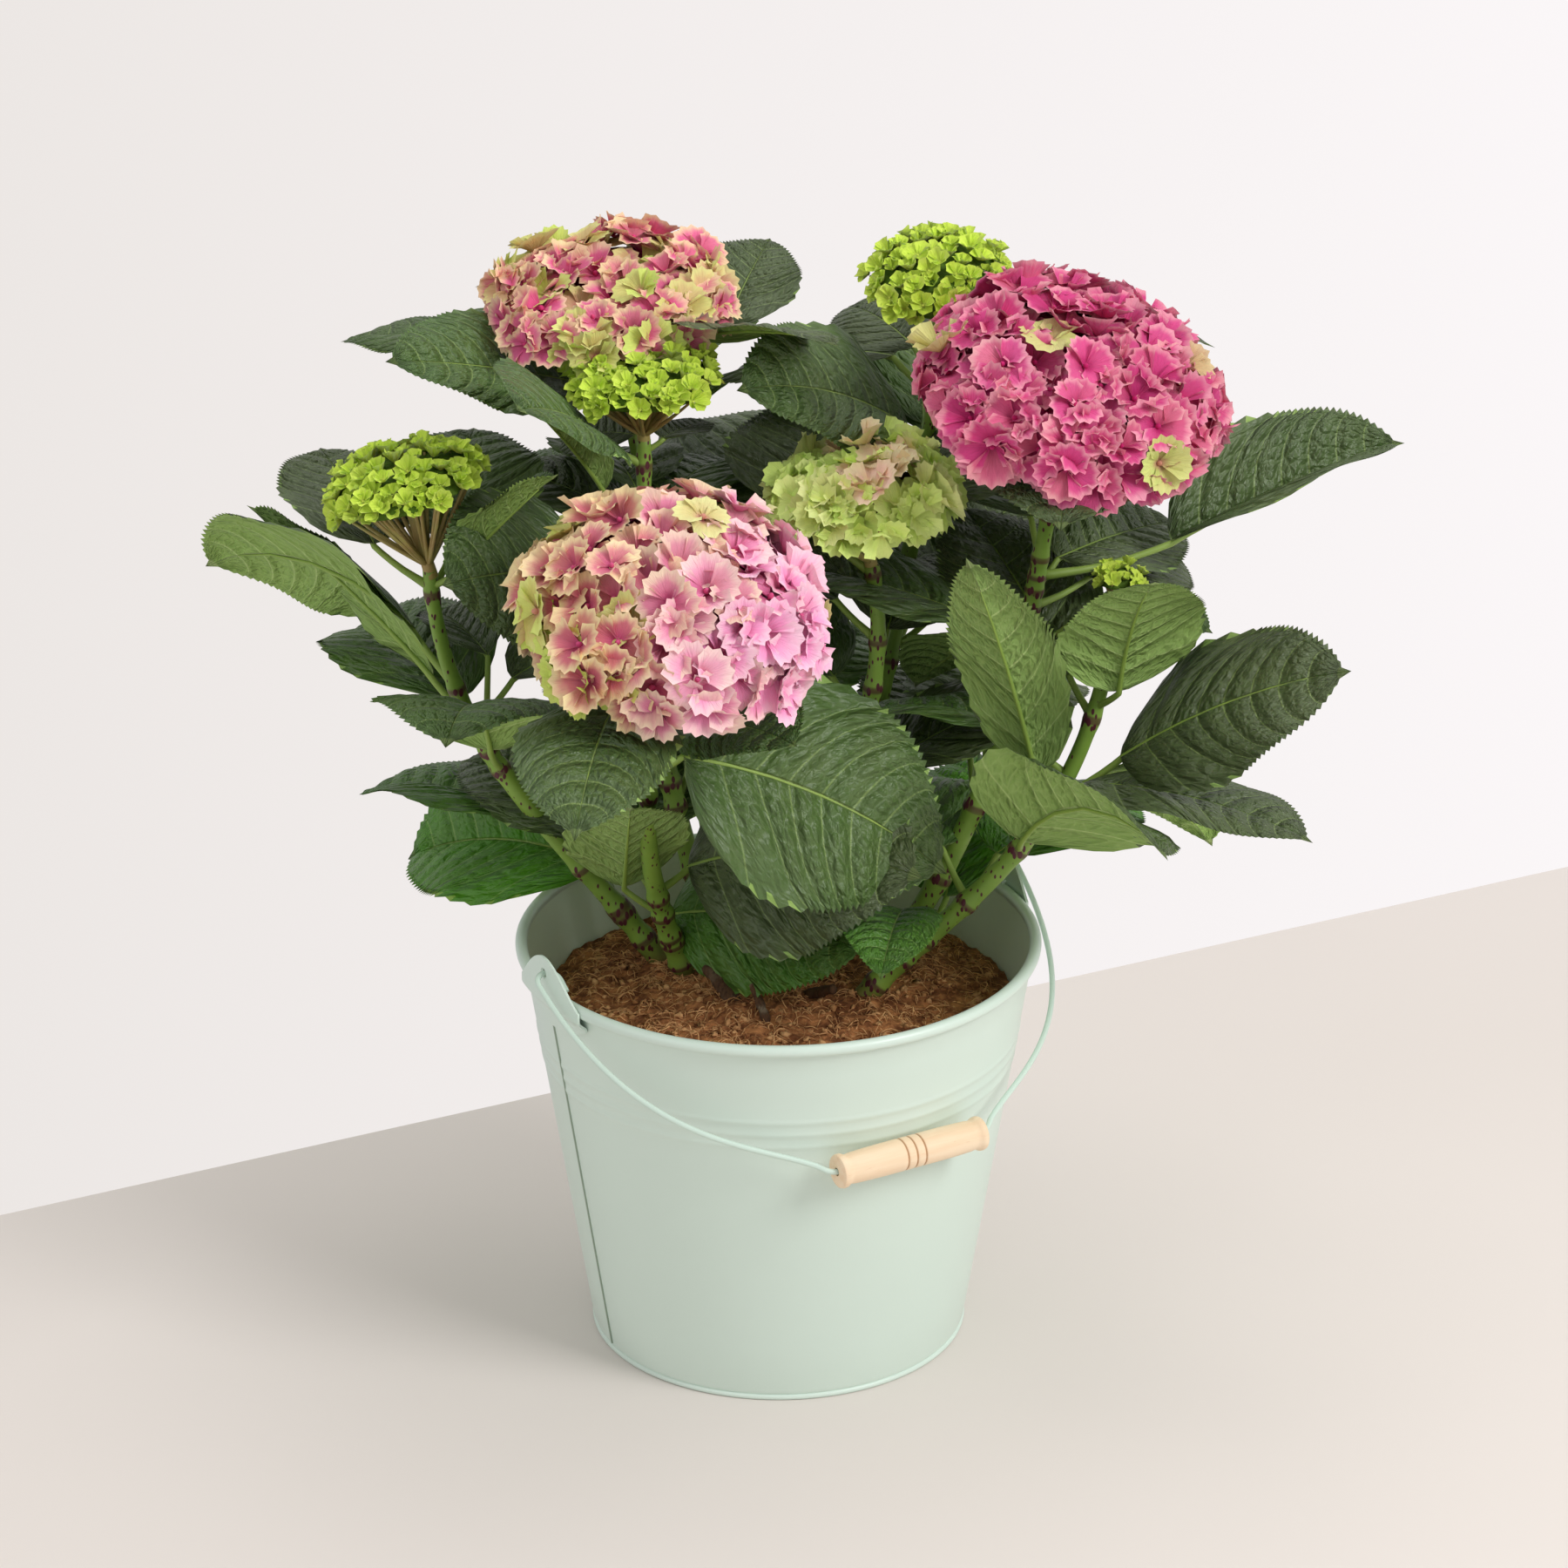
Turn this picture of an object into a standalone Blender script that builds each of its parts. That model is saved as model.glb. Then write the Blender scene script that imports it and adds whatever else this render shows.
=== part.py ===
"""Potted hydrangea: a mophead shrub in a tapered sheet-metal pail with a wire bail and a turned grip.

The pail stands on its flat underside at the origin, +Z up, in metres. Eight shoots rise from the
soil. Each is a cane, a mass of leaves on the stem that carries on from it, and a flower head.
"""
import math
import random
from collections import namedtuple

import bmesh
import bpy
from mathutils import Matrix, Vector
from mathutils.bvhtree import BVHTree

GAP = 0.0003                     # running gap left between pieces that touch

# --- pail ---------------------------------------------------------------------------------
RIM_RADIUS = 0.130               # outside of the rolled rim
FOOT_RADIUS = 0.0945             # outside of the rolled foot
PAIL_HEIGHT = 0.211
SHEET = 0.0012
RIM_BEAD = 0.003                 # radius of the rolled rim
FOOT_BEAD = 0.0015
RING_HEIGHTS = (0.152, 0.159, 0.166)
RING_SWELL = 0.0008              # how far a pressed ring stands out of the wall
RING_HALF = 0.0026
PAIL_SIDES = 40

# --- ears and bail ------------------------------------------------------------------------
EAR_HEADING = 30.5               # degrees, the line through both ears
EAR_AXIS_HEIGHT = 0.2205
EAR_HALF_SPAN = 12.5             # degrees of the rim that an ear covers, each way
EAR_FOOT = 0.190                 # height of an ear's lower edge at its middle
EAR_SHOULDER = 0.209             # height of an ear's upper edge at its ends
EAR_TOP = 0.229
EAR_STEPS = 12
EAR_HOLE = 0.0026
WIRE = 0.0014                    # radius of the bail wire
WIRE_SIDES = 6
BAIL_DIP = 31.35                 # degrees below level, with the grip resting on the wall
BAIL_DEPTH = 0.1460              # ear axis to grip axis
HOOK = 0.006                     # bend radius where the wire hooks through its ear
HOOK_LEG = 0.013                 # how far the inner leg of the hook runs
SHOULDER = (0.047, 0.1420)       # the bend in the wire just outside the grip
BOW = ((0.131, 0.108), (0.072, 0.120))
GRIP_LENGTH = 0.082
GRIP_RADIUS = 0.0080
GRIP_END = 0.0085
GRIP_NECK = 0.0073
GRIP_BORE = 0.0021
GRIP_SIDES = 14
GRIP_GROOVES = (-0.005, 0.0, 0.005)
SWING = 48                       # degrees that the bail lifts before it meets the leaves

# --- soil and old wood ----------------------------------------------------------------------
SOIL_EDGE = 0.172                # height of the soil at the wall
SOIL_CROWN = 0.185               # and in the middle
SOIL_SIDES = 20
SOIL_RINGS = 4
ROUGH = 0.0025                   # how far the surface rises and falls
PIT = 0.0010                     # how much wider a limb's pit is than the limb
FOOT_HEIGHT = 0.178              # where canes and stubs stand, in pits in the soil

# --- shoots ---------------------------------------------------------------------------------
FOOT_THICK = 0.0056              # radius of a cane at the soil
TIP_THICK = 0.0034               # radius of a stem under its flower head
LIMB_SIDES = 6
STALK_THICK = 0.0018             # radius of a leaf stalk
BLADE_THICK = 0.0016             # thickness of a blade along its midrib
STATIONS = (0.1, 0.325, 0.625, 0.875)   # where a blade's width is set, as shares of its length

# at: where along the shoot; heading: of the stalk; turn: blade against stalk; rise: of the blade
# where it starts; droop: how far it turns down over its length; roll: about its midrib, all in
# degrees; slim: width over length; fold: how far each half is folded up.
Leaf = namedtuple("Leaf", "at heading turn rise droop roll length slim fold stalk stalk_rise",
                  defaults=(0.70, 10, 0.030, 40))
# path: Bezier points from foot to tip; split: where the cane ends and the leafy stem begins;
# fill: how many pairs of leaves are added by rule, and the heading of the first pair
Shoot = namedtuple("Shoot", "path split fill fill_heading leaves")
# centre: middle of the dome's widest ring; radius, height: of the dome; reach: how far down
# the florets go, in degrees from the top; arms: branches that show under the dome
Head = namedtuple("Head", "centre radius height reach florets floret petal_depth arms")

SHOOTS = {
    "left": Shoot(
        ((-0.058, 0.033, 0.178), (-0.102, 0.031, 0.249), (-0.164, 0.018, 0.294),
         (-0.168, 0.006, 0.401)), 0.08, 2, 40, (
            Leaf(0.14, 121, 21, 7, 40, -40, 0.135, 0.74, 26, 0.028),
            Leaf(0.57, 262, 0, 63, 75, 0, 0.125, 0.78),
            Leaf(0.63, 84, 28, 6, 20, -10, 0.075, 0.67, 35, 0.045, 75),
            Leaf(0.69, 146, -3, 36, 15, 60, 0.130, 0.42),
            Leaf(0.77, 137, 6, 32, 60, 52, 0.140, 0.63, 3, 0.036),
            Leaf(0.97, 180, -72, 12, 10, 0, 0.105, 0.67, 15, 0.035),
            Leaf(0.96, 63, 25, 20, 20, 0, 0.110, 0.73),
            Leaf(0.97, 330, -9, 47, 5, 0, 0.095, 0.36, 45, 0.014),
        )),
    "front": Shoot(
        ((-0.046, 0.017, 0.178), (-0.060, 0.009, 0.223), (-0.075, -0.028, 0.280),
         (-0.050, -0.075, 0.373)), 0.16, 2, 20, (
            Leaf(0.91, 215, 47, 13, 40, 0, 0.125, 0.62, 6),
            Leaf(0.85, 356, -50, 22, 20, 20, 0.085, 0.71, 12, 0.022),
            Leaf(0.79, 306, 66, -14, 30, 60, 0.146, 0.77, 4, 0.032, 31),
            Leaf(0.37, 38, -72, 30, 35, 55, 0.137, 0.78, 4, 0.021, 25),
            Leaf(0.19, 89, -131, 24, 30, 60, 0.127, 0.62, 4, 0.018, 11),
            Leaf(0.28, 186, 89, 53, 10, 0, 0.095, 0.68, 20, 0.025),
        )),
    "right": Shoot(
        ((0.039, -0.012, 0.178), (0.083, -0.011, 0.232), (0.151, -0.014, 0.262),
         (0.162, -0.010, 0.387)), 0.18, 2, 60, (
            Leaf(0.23, 73, 7, 14, 15, 5, 0.115, 0.68, 10, 0.038, 10),
            Leaf(0.26, 198, 64, 18, 30, 0, 0.085, 0.59, 20, 0.022),
            Leaf(0.53, 274, 31, 55, 75, -40, 0.125, 0.84, 12, 0.015),
            Leaf(0.68, 221, 5, 73, 10, 25, 0.135, 0.42, 15, 0.020),
            Leaf(0.83, 122, -7, 30, 15, 0, 0.125, 0.64, 12, 0.025),
            Leaf(0.85, 310, -27, 73, 35, 0, 0.095, 0.76, 8, 0.020),
            Leaf(0.66, 344, -15, 41, 20, 42, 0.135, 0.62, 4, 0.042),
            Leaf(0.64, 346, 56, -11, 40, -30, 0.110, 0.68, 25, 0.020),
        )),
    "tall_right": Shoot(
        ((0.050, 0.022, 0.178), (0.125, 0.016, 0.300), (0.117, 0.027, 0.360),
         (0.134, 0.012, 0.448)), 0.26, 3, 80, (
            Leaf(0.78, 18, 7, 20, 12, 15, 0.130, 0.65, 45, 0.070, 8),
            Leaf(0.97, 57, -152, 35, 55, 0, 0.111, 0.86, 10, 0.015, 14),
            Leaf(0.75, 40, 12, -1, 10, 20, 0.100, 0.70, 12, 0.020),
            Leaf(0.71, 32, 25, -6, 10, 25, 0.090, 0.72, 12, 0.035, 15),
            Leaf(0.91, 163, -47, 3, 10, -30, 0.090, 0.72, 12, 0.022),
            Leaf(0.58, 174, -53, -25, 20, 20, 0.080, 0.62, 20, 0.020),
        )),
    "middle": Shoot(
        ((0.012, 0.022, 0.178), (0.023, 0.016, 0.267), (0.060, 0.025, 0.325),
         (0.045, 0.022, 0.397)), 0.24, 3, 35, (
            Leaf(0.98, 166, -84, 15, 10, 0, 0.105, 0.81, 12, 0.050),
            Leaf(0.83, 76, -13, 3, 10, 0, 0.085, 0.71, 12, 0.014),
        )),
    "mid_left": Shoot(
        ((-0.028, 0.040, 0.178), (-0.063, 0.042, 0.285), (-0.066, 0.045, 0.341),
         (-0.065, 0.038, 0.456)), 0.26, 3, 110, (
            Leaf(0.70, 214, 13, 25, 20, -50, 0.105, 0.90, 4, 0.035),
            Leaf(0.96, 206, 42, 36, 20, -30, 0.100, 0.80),
            Leaf(0.97, 114, 18, -8, 20, -30, 0.058, 0.62, 12, 0.014),
            Leaf(0.98, 1, 58, 0, 10, 0, 0.040, 0.70, 12, 0.012),
            Leaf(0.87, 183, 58, 49, 10, 0, 0.085, 0.35, 45, 0.025),
        )),
    "back_left": Shoot(
        ((-0.030, 0.068, 0.178), (-0.032, 0.088, 0.260), (-0.068, 0.101, 0.409),
         (-0.080, 0.095, 0.489)), 0.20, 5, 60, (
            Leaf(0.95, 183, -38, -3, 15, -4, 0.110, 0.45, 8, 0.052, 12),
            Leaf(0.84, 188, 30, 23, 10, -30, 0.118, 0.59, 14),
            Leaf(0.94, 25, 49, 20, 10, 10, 0.080, 0.69, 15, 0.058, 12),
            Leaf(0.92, 343, -26, 26, 25, -18, 0.115, 0.61, 8),
        )),
    "back_right": Shoot(
        ((0.028, 0.066, 0.178), (0.041, 0.085, 0.266), (0.077, 0.107, 0.397),
         (0.079, 0.105, 0.497)), 0.20, 5, 20, (
            Leaf(0.78, 245, -28, 40, 35, -38, 0.110, 0.75, 14),
            Leaf(0.89, 130, -17, 8, 20, -20, 0.080, 0.75, 12, 0.020),
        )),
}

HEADS = {
    "left": Head((-0.179, 0.005, 0.443), 0.041, 0.019, 94, 9, 0.0140, 0.007, 4),
    "front": Head((-0.050, -0.086, 0.412), 0.075, 0.055, 118, 24, 0.022, 0.013, 0),
    "right": Head((0.163, -0.010, 0.401), 0.014, 0.010, 90, 4, 0.008, 0.004, 0),
    "tall_right": Head((0.138, 0.000, 0.492), 0.076, 0.044, 112, 23, 0.022, 0.013, 0),
    "middle": Head((0.041, 0.020, 0.429), 0.048, 0.032, 98, 13, 0.0165, 0.009, 3),
    "mid_left": Head((-0.066, 0.035, 0.486), 0.039, 0.017, 92, 9, 0.0130, 0.007, 4),
    "back_left": Head((-0.081, 0.090, 0.510), 0.063, 0.020, 96, 17, 0.0190, 0.010, 0),
    "back_right": Head((0.079, 0.100, 0.515), 0.038, 0.021, 94, 9, 0.0130, 0.007, 4),
}

# a leaf by rule that would head between these is turned to the far side of its shoot instead, so
# that the near side is left to the named leaves
NEAR_SIDE = (195, 315)

# foot and tip of each dead stub, and its radius at the foot
STUBS = (((-0.016, -0.030), (-0.036, -0.004, 0.194), 0.0045),
         ((-0.004, -0.046), (-0.013, -0.030, 0.197), 0.0028),
         ((-0.002, -0.018), (-0.009, 0.002, 0.204), 0.0032),
         ((0.008, -0.010), (0.027, -0.027, 0.193), 0.0038))

COLOURS = {
    "pail": ((0.58, 0.72, 0.62), 0.45, 0.0),
    "wire": ((0.55, 0.70, 0.60), 0.45, 0.0),
    "beech": ((0.91, 0.75, 0.50), 0.55, 0.0),
    "soil": ((0.10, 0.05, 0.025), 0.95, 0.0),
    "old_wood": ((0.09, 0.05, 0.035), 0.90, 0.0),
    "green_stem": ((0.20, 0.33, 0.06), 0.55, 0.0),
    "leaf": ((0.04, 0.10, 0.02), 0.45, 0.0),
    "pink_petal": ((0.75, 0.18, 0.38), 0.60, 0.0),
    "salmon_petal": ((0.80, 0.36, 0.38), 0.60, 0.0),
    "lime_petal": ((0.40, 0.62, 0.10), 0.60, 0.0),
}
HEAD_COLOURS = {"front": "salmon_petal", "tall_right": "pink_petal", "back_left": "pink_petal",
                "middle": "salmon_petal"}


# --- helpers --------------------------------------------------------------------------------
def material(name):
    """The Principled material of that name, made on first use."""
    found = bpy.data.materials.get(name)
    if found:
        return found
    colour, roughness, metallic = COLOURS[name]
    made = bpy.data.materials.new(name)
    made.use_nodes = True
    shader = made.node_tree.nodes["Principled BSDF"]
    shader.inputs["Base Color"].default_value = (*colour, 1.0)
    shader.inputs["Roughness"].default_value = roughness
    shader.inputs["Metallic"].default_value = metallic
    made.diffuse_color = (*colour, 1.0)
    return made


def solid(name, shape, finish, place=None):
    """An object from (points, faces), with its faces pointing out."""
    points, faces = shape
    mesh = bpy.data.meshes.new(name)
    bm = bmesh.new()
    corners = [bm.verts.new(point) for point in points]
    for face in faces:
        bm.faces.new([corners[i] for i in face])
    bmesh.ops.triangulate(bm, faces=[f for f in bm.faces if len(f.verts) > 4])
    bmesh.ops.recalc_face_normals(bm, faces=bm.faces)
    bm.to_mesh(mesh)
    bm.free()
    mesh.materials.append(material(finish))
    made = bpy.data.objects.new(name, mesh)
    bpy.context.scene.collection.objects.link(made)
    if place:
        made.matrix_world = place
    return made


def direction(heading, rise):
    """Unit vector for a compass heading and a rise, in degrees."""
    turn, tilt = math.radians(heading), math.radians(rise)
    return Vector((math.cos(tilt) * math.cos(turn), math.cos(tilt) * math.sin(turn),
                   math.sin(tilt)))


def bezier(path, t):
    """Point at t on a cubic Bezier."""
    a, b, c, d = (Vector(p) for p in path)
    s = 1 - t
    return a * s ** 3 + b * (3 * s * s * t) + c * (3 * s * t * t) + d * t ** 3


def along(path, start, end, steps):
    """Evenly spaced points of a Bezier from t = start to t = end."""
    return [bezier(path, start + (end - start) * i / steps) for i in range(steps + 1)]


def blend(start, end, steps):
    """Values from start to end, one for each of steps + 1 points."""
    return [start + (end - start) * i / steps for i in range(steps + 1)]


def lathe(profile, sides, axis="Z"):
    """Turn (radius, height) points about an axis; points at radius 0 become poles."""
    points, faces, rings = [], [], []
    for radius, height in profile:
        ring = []
        count = 1 if radius == 0 else sides
        for k in range(count):
            a = math.tau * k / sides
            flat = (radius * math.cos(a), radius * math.sin(a))
            place = (*flat, height) if axis == "Z" else (height, *flat)
            ring.append(len(points))
            points.append(place)
        rings.append(ring)
    pairs = list(zip(rings, rings[1:]))
    if profile[0][0] and profile[-1][0]:
        pairs.append((rings[-1], rings[0]))
    for low, high in pairs:
        for k in range(sides):
            n = (k + 1) % sides
            quad = (low[k % len(low)], low[n % len(low)], high[n % len(high)], high[k % len(high)])
            faces.append(tuple(dict.fromkeys(quad)))
    return points, faces


def tube(path, radii, sides, level_foot=False):
    """A closed round limb along the points of path, one radius for each."""
    points, faces = [], []
    tangents = [(b - a).normalized() for a, b in zip(path, path[1:])]
    tangents = [tangents[0]] + [(a + b).normalized() for a, b in zip(tangents, tangents[1:])] \
        + [tangents[-1]]
    across = tangents[0].orthogonal().normalized()
    for i, (centre, radius, tangent) in enumerate(zip(path, radii, tangents)):
        across = (across - tangent * across.dot(tangent)).normalized()
        other = tangent.cross(across)
        for k in range(sides):
            a = math.tau * k / sides
            offset = (across * math.cos(a) + other * math.sin(a)) * radius
            if level_foot and i == 0:
                offset -= tangent * (offset.z / tangent.z)
            points.append(centre + offset)
    for i in range(len(path) - 1):
        for k in range(sides):
            n = (k + 1) % sides
            faces.append((i * sides + k, i * sides + n, (i + 1) * sides + n, (i + 1) * sides + k))
    faces.append(tuple(range(sides)))
    faces.append(tuple(len(points) - 1 - k for k in range(sides)))
    return points, faces


def evaluated(target):
    """Apply the target's modifiers and drop them."""
    graph = bpy.context.evaluated_depsgraph_get()
    mesh = bpy.data.meshes.new_from_object(target.evaluated_get(graph))
    target.modifiers.clear()
    old, target.data = target.data, mesh
    bpy.data.meshes.remove(old)
    mesh.name = target.name


def combine(target, parts, operation):
    """One exact Boolean of all the parts on the target, applied, with the parts then removed."""
    group = bpy.data.collections.new(target.name + "_parts")
    for part in parts:
        group.objects.link(part)
    tool = target.modifiers.new("combine", "BOOLEAN")
    tool.operation = operation
    tool.operand_type = "COLLECTION"
    tool.collection = group
    tool.solver = "MANIFOLD" if operation == "UNION" else "EXACT"
    evaluated(target)
    for part in parts:
        mesh = part.data
        bpy.data.objects.remove(part)
        bpy.data.meshes.remove(mesh)
    bpy.data.collections.remove(group)


def search_tree(shape):
    """A search tree over a (points, faces) shape."""
    points, faces = shape
    return BVHTree.FromPolygons([Vector(p) for p in points], faces)


def shape_of(thing):
    """The (points, faces) of an object in world space."""
    place = thing.matrix_world
    return ([place @ v.co for v in thing.data.vertices],
            [tuple(p.vertices) for p in thing.data.polygons])


# --- pail -----------------------------------------------------------------------------------
def wall_radius(height):
    """Outside radius of the plain wall at a height."""
    low = FOOT_RADIUS - 0.001
    high = RIM_RADIUS - RIM_BEAD - 0.0004
    return low + (high - low) * height / (PAIL_HEIGHT - RIM_BEAD)


def make_pail():
    """The pail: floor, rolled foot, tapered wall with three pressed rings, rolled rim."""
    foot_centre = FOOT_RADIUS - FOOT_BEAD
    profile = [(0, 0), (foot_centre - 0.001, 0)]
    for a in (-60, -15, 30, 75):
        profile.append((foot_centre + FOOT_BEAD * math.cos(math.radians(a)),
                        FOOT_BEAD + FOOT_BEAD * math.sin(math.radians(a))))
    profile.append((wall_radius(0.004), 0.004))
    for height in RING_HEIGHTS:
        profile.append((wall_radius(height - RING_HALF), height - RING_HALF))
        profile.append((wall_radius(height) + RING_SWELL, height))
    profile.append((wall_radius(RING_HEIGHTS[-1] + RING_HALF), RING_HEIGHTS[-1] + RING_HALF))
    rim_centre = (RIM_RADIUS - RIM_BEAD, PAIL_HEIGHT - RIM_BEAD)
    profile.append((wall_radius(0.2045), 0.2045))
    for a in range(-70, 180, 35):
        profile.append((rim_centre[0] + RIM_BEAD * math.cos(math.radians(a)),
                        rim_centre[1] + RIM_BEAD * math.sin(math.radians(a))))
    profile.append((wall_radius(0.203) - SHEET, 0.203))
    profile.append((wall_radius(SHEET) - SHEET, SHEET))
    profile.append((0, SHEET))
    return solid("pail", lathe(profile, PAIL_SIDES), "pail")


def make_ear(name, heading):
    """A sheet ear on the outside of the rim: it follows the wall, clears the bead and stands up."""
    stand_off = RIM_RADIUS + 0.0004
    points = []
    for i in range(EAR_STEPS + 1):
        u = 2 * i / EAR_STEPS - 1
        foot = EAR_FOOT + 0.008 * u * u
        top = EAR_SHOULDER + (EAR_TOP - EAR_SHOULDER) * math.cos(u * math.pi / 2) ** 1.2
        rows = [(wall_radius(foot) + 0.0005, foot), (wall_radius(0.199) + 0.0005, 0.199),
                (stand_off, 0.205), (stand_off, top)]
        spin = math.radians(heading + u * EAR_HALF_SPAN)
        for thick in (0, SHEET):
            for radius, height in rows:
                points.append(((radius + thick) * math.cos(spin), (radius + thick) * math.sin(spin),
                               height))
    outline = (0, 1, 2, 3, 7, 6, 5, 4)
    faces = []
    for i in range(EAR_STEPS):
        for a, b in zip(outline, outline[1:] + outline[:1]):
            faces.append((8 * i + a, 8 * i + b, 8 * i + 8 + b, 8 * i + 8 + a))
    for start in (0, 8 * EAR_STEPS):
        faces.extend(tuple(start + j for j in quad) for quad in ((0, 1, 5, 4), (1, 2, 6, 5), (2, 3, 7, 6)))
    ear = solid(name, (points, faces), "pail")
    out = direction(heading, 0)
    middle = out * RIM_RADIUS + Vector((0, 0, EAR_AXIS_HEIGHT))
    drill = solid(name + "_hole", tube([middle - out * 0.01, middle + out * 0.01],
                                       [EAR_HOLE] * 2, 16), "pail")
    combine(ear, [drill], "DIFFERENCE")
    return ear


# --- bail -----------------------------------------------------------------------------------
def bail_frame(lift=0):
    """Places the bail's own plane: X along the ear axis, Y from the axis to the grip."""
    axis = direction(EAR_HEADING, 0)
    reach = direction(EAR_HEADING - 90, lift - BAIL_DIP)
    turn = Matrix((axis, reach, axis.cross(reach))).transposed().to_4x4()
    return Matrix.Translation((0, 0, EAR_AXIS_HEIGHT)) @ turn


def bail_path():
    """The wire's centre line in its own plane, from one hook to the other."""
    ear = RIM_RADIUS + 0.001
    half = [Vector((ear - HOOK, HOOK_LEG, 0))]
    for a in range(180, -1, -30):
        turn = math.radians(a)
        half.append(Vector((ear + HOOK * math.cos(turn), HOOK - HOOK * math.sin(turn), 0)))
    bow = ((ear + HOOK, HOOK, 0), (*BOW[0], 0), (*BOW[1], 0), (*SHOULDER, 0))
    half += along(bow, 0, 1, 12)[1:]
    half.append(Vector((GRIP_LENGTH / 2 + 0.001, BAIL_DEPTH, 0)))
    mirrored = [Vector((-p.x, p.y, 0)) for p in reversed(half)]
    return half + mirrored


def make_bail():
    """The bail wire, with its origin on the ear axis."""
    path = bail_path()
    return solid("bail_wire", tube(path, [WIRE] * len(path), WIRE_SIDES), "wire", bail_frame())


def make_grip(bail):
    """The turned grip, bored for the wire, with its origin on the wire."""
    half = GRIP_LENGTH / 2
    outer = [(GRIP_BORE, -half), (GRIP_END - 0.0015, -half), (GRIP_END, -half + 0.0015),
             (GRIP_END, -half + 0.0035), (GRIP_NECK, -half + 0.0055), (GRIP_RADIUS, -0.018)]
    for x in GRIP_GROOVES:
        outer += [(GRIP_RADIUS, x - 0.0007), (GRIP_RADIUS - 0.0006, x), (GRIP_RADIUS, x + 0.0007)]
    outer += [(radius, -x) for radius, x in reversed(outer[:6])]
    grip = solid("grip", lathe(outer, GRIP_SIDES, "X"), "beech")
    grip.parent = bail
    grip.location = (0, BAIL_DEPTH, 0)
    return grip


def swept_space(bail, grip):
    """Everything the bail passes through: both pieces at close steps, and the sheet between."""
    shapes = []
    lifts = range(-1, SWING + 2, 2)
    for lift in lifts:
        moved = bail_frame(lift) @ bail_frame().inverted()
        for points, faces in (shape_of(bail), shape_of(grip)):
            shapes.append(([moved @ p for p in points], faces))
    path = bail_path()
    points = [bail_frame(lift) @ p for lift in lifts for p in path]
    faces = [(row + i, row + i + 1, row + i + 1 + len(path), row + i + len(path))
             for row in range(0, len(points) - len(path), len(path)) for i in range(len(path) - 1)]
    shapes.append((points, faces))
    return shapes


# --- soil and old wood ------------------------------------------------------------------------
def make_soil(limbs):
    """The soil: a rough mound that fills the pail, with a pit round the foot of each limb."""
    rng = random.Random(5)
    base = SHEET + GAP
    fit = 0.0009
    points = [(0, 0, base)]
    for k in range(SOIL_SIDES):
        a = math.tau * k / SOIL_SIDES
        radius = wall_radius(base) - SHEET - fit
        points.append((radius * math.cos(a), radius * math.sin(a), base))
    for ring in range(SOIL_RINGS, 0, -1):
        share = ring / SOIL_RINGS
        for k in range(SOIL_SIDES):
            a = math.tau * k / SOIL_SIDES
            height = SOIL_CROWN + (SOIL_EDGE - SOIL_CROWN) * share ** 2 + rng.uniform(-1, 1) * ROUGH
            radius = (wall_radius(height) - SHEET - fit) * share
            points.append((radius * math.cos(a), radius * math.sin(a), height))
    points.append((0, 0, SOIL_CROWN))
    faces = []
    for k in range(SOIL_SIDES):
        n = (k + 1) % SOIL_SIDES
        faces.append((0, 1 + k, 1 + n))
        for ring in range(SOIL_RINGS):
            low, high = 1 + ring * SOIL_SIDES, 1 + (ring + 1) * SOIL_SIDES
            faces.append((low + k, low + n, high + n, high + k))
        last = 1 + SOIL_RINGS * SOIL_SIDES
        faces.append((last + k, last + n, len(points) - 1))
    soil = solid("soil", (points, faces), "soil")
    pits = []
    for path, radii in limbs:
        lowered = [path[0] - Vector((0, 0, GAP))] + path[1:]
        pits.append(solid("pit", tube(lowered, [r + PIT for r in radii], 6, True), "soil"))
    combine(soil, pits, "DIFFERENCE")
    return soil


def stub_limb(foot, tip, thick):
    """Path and radii of a dead stub of old wood."""
    low, high = Vector((*foot, FOOT_HEIGHT)), Vector(tip)
    middle = low.lerp(high, 0.55) + Vector((0, 0, 0.002))
    return [low, middle, high], [thick, thick * 0.85, thick * 0.55]


# --- leaves -----------------------------------------------------------------------------------
def half_width(s):
    """Half the blade's width at s along it, as a share of half its greatest width."""
    rise, fall = 0.62, 0.75
    peak = rise / (rise + fall)
    return (s ** rise) * ((1 - s) ** fall) / (peak ** rise * (1 - peak) ** fall)


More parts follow.
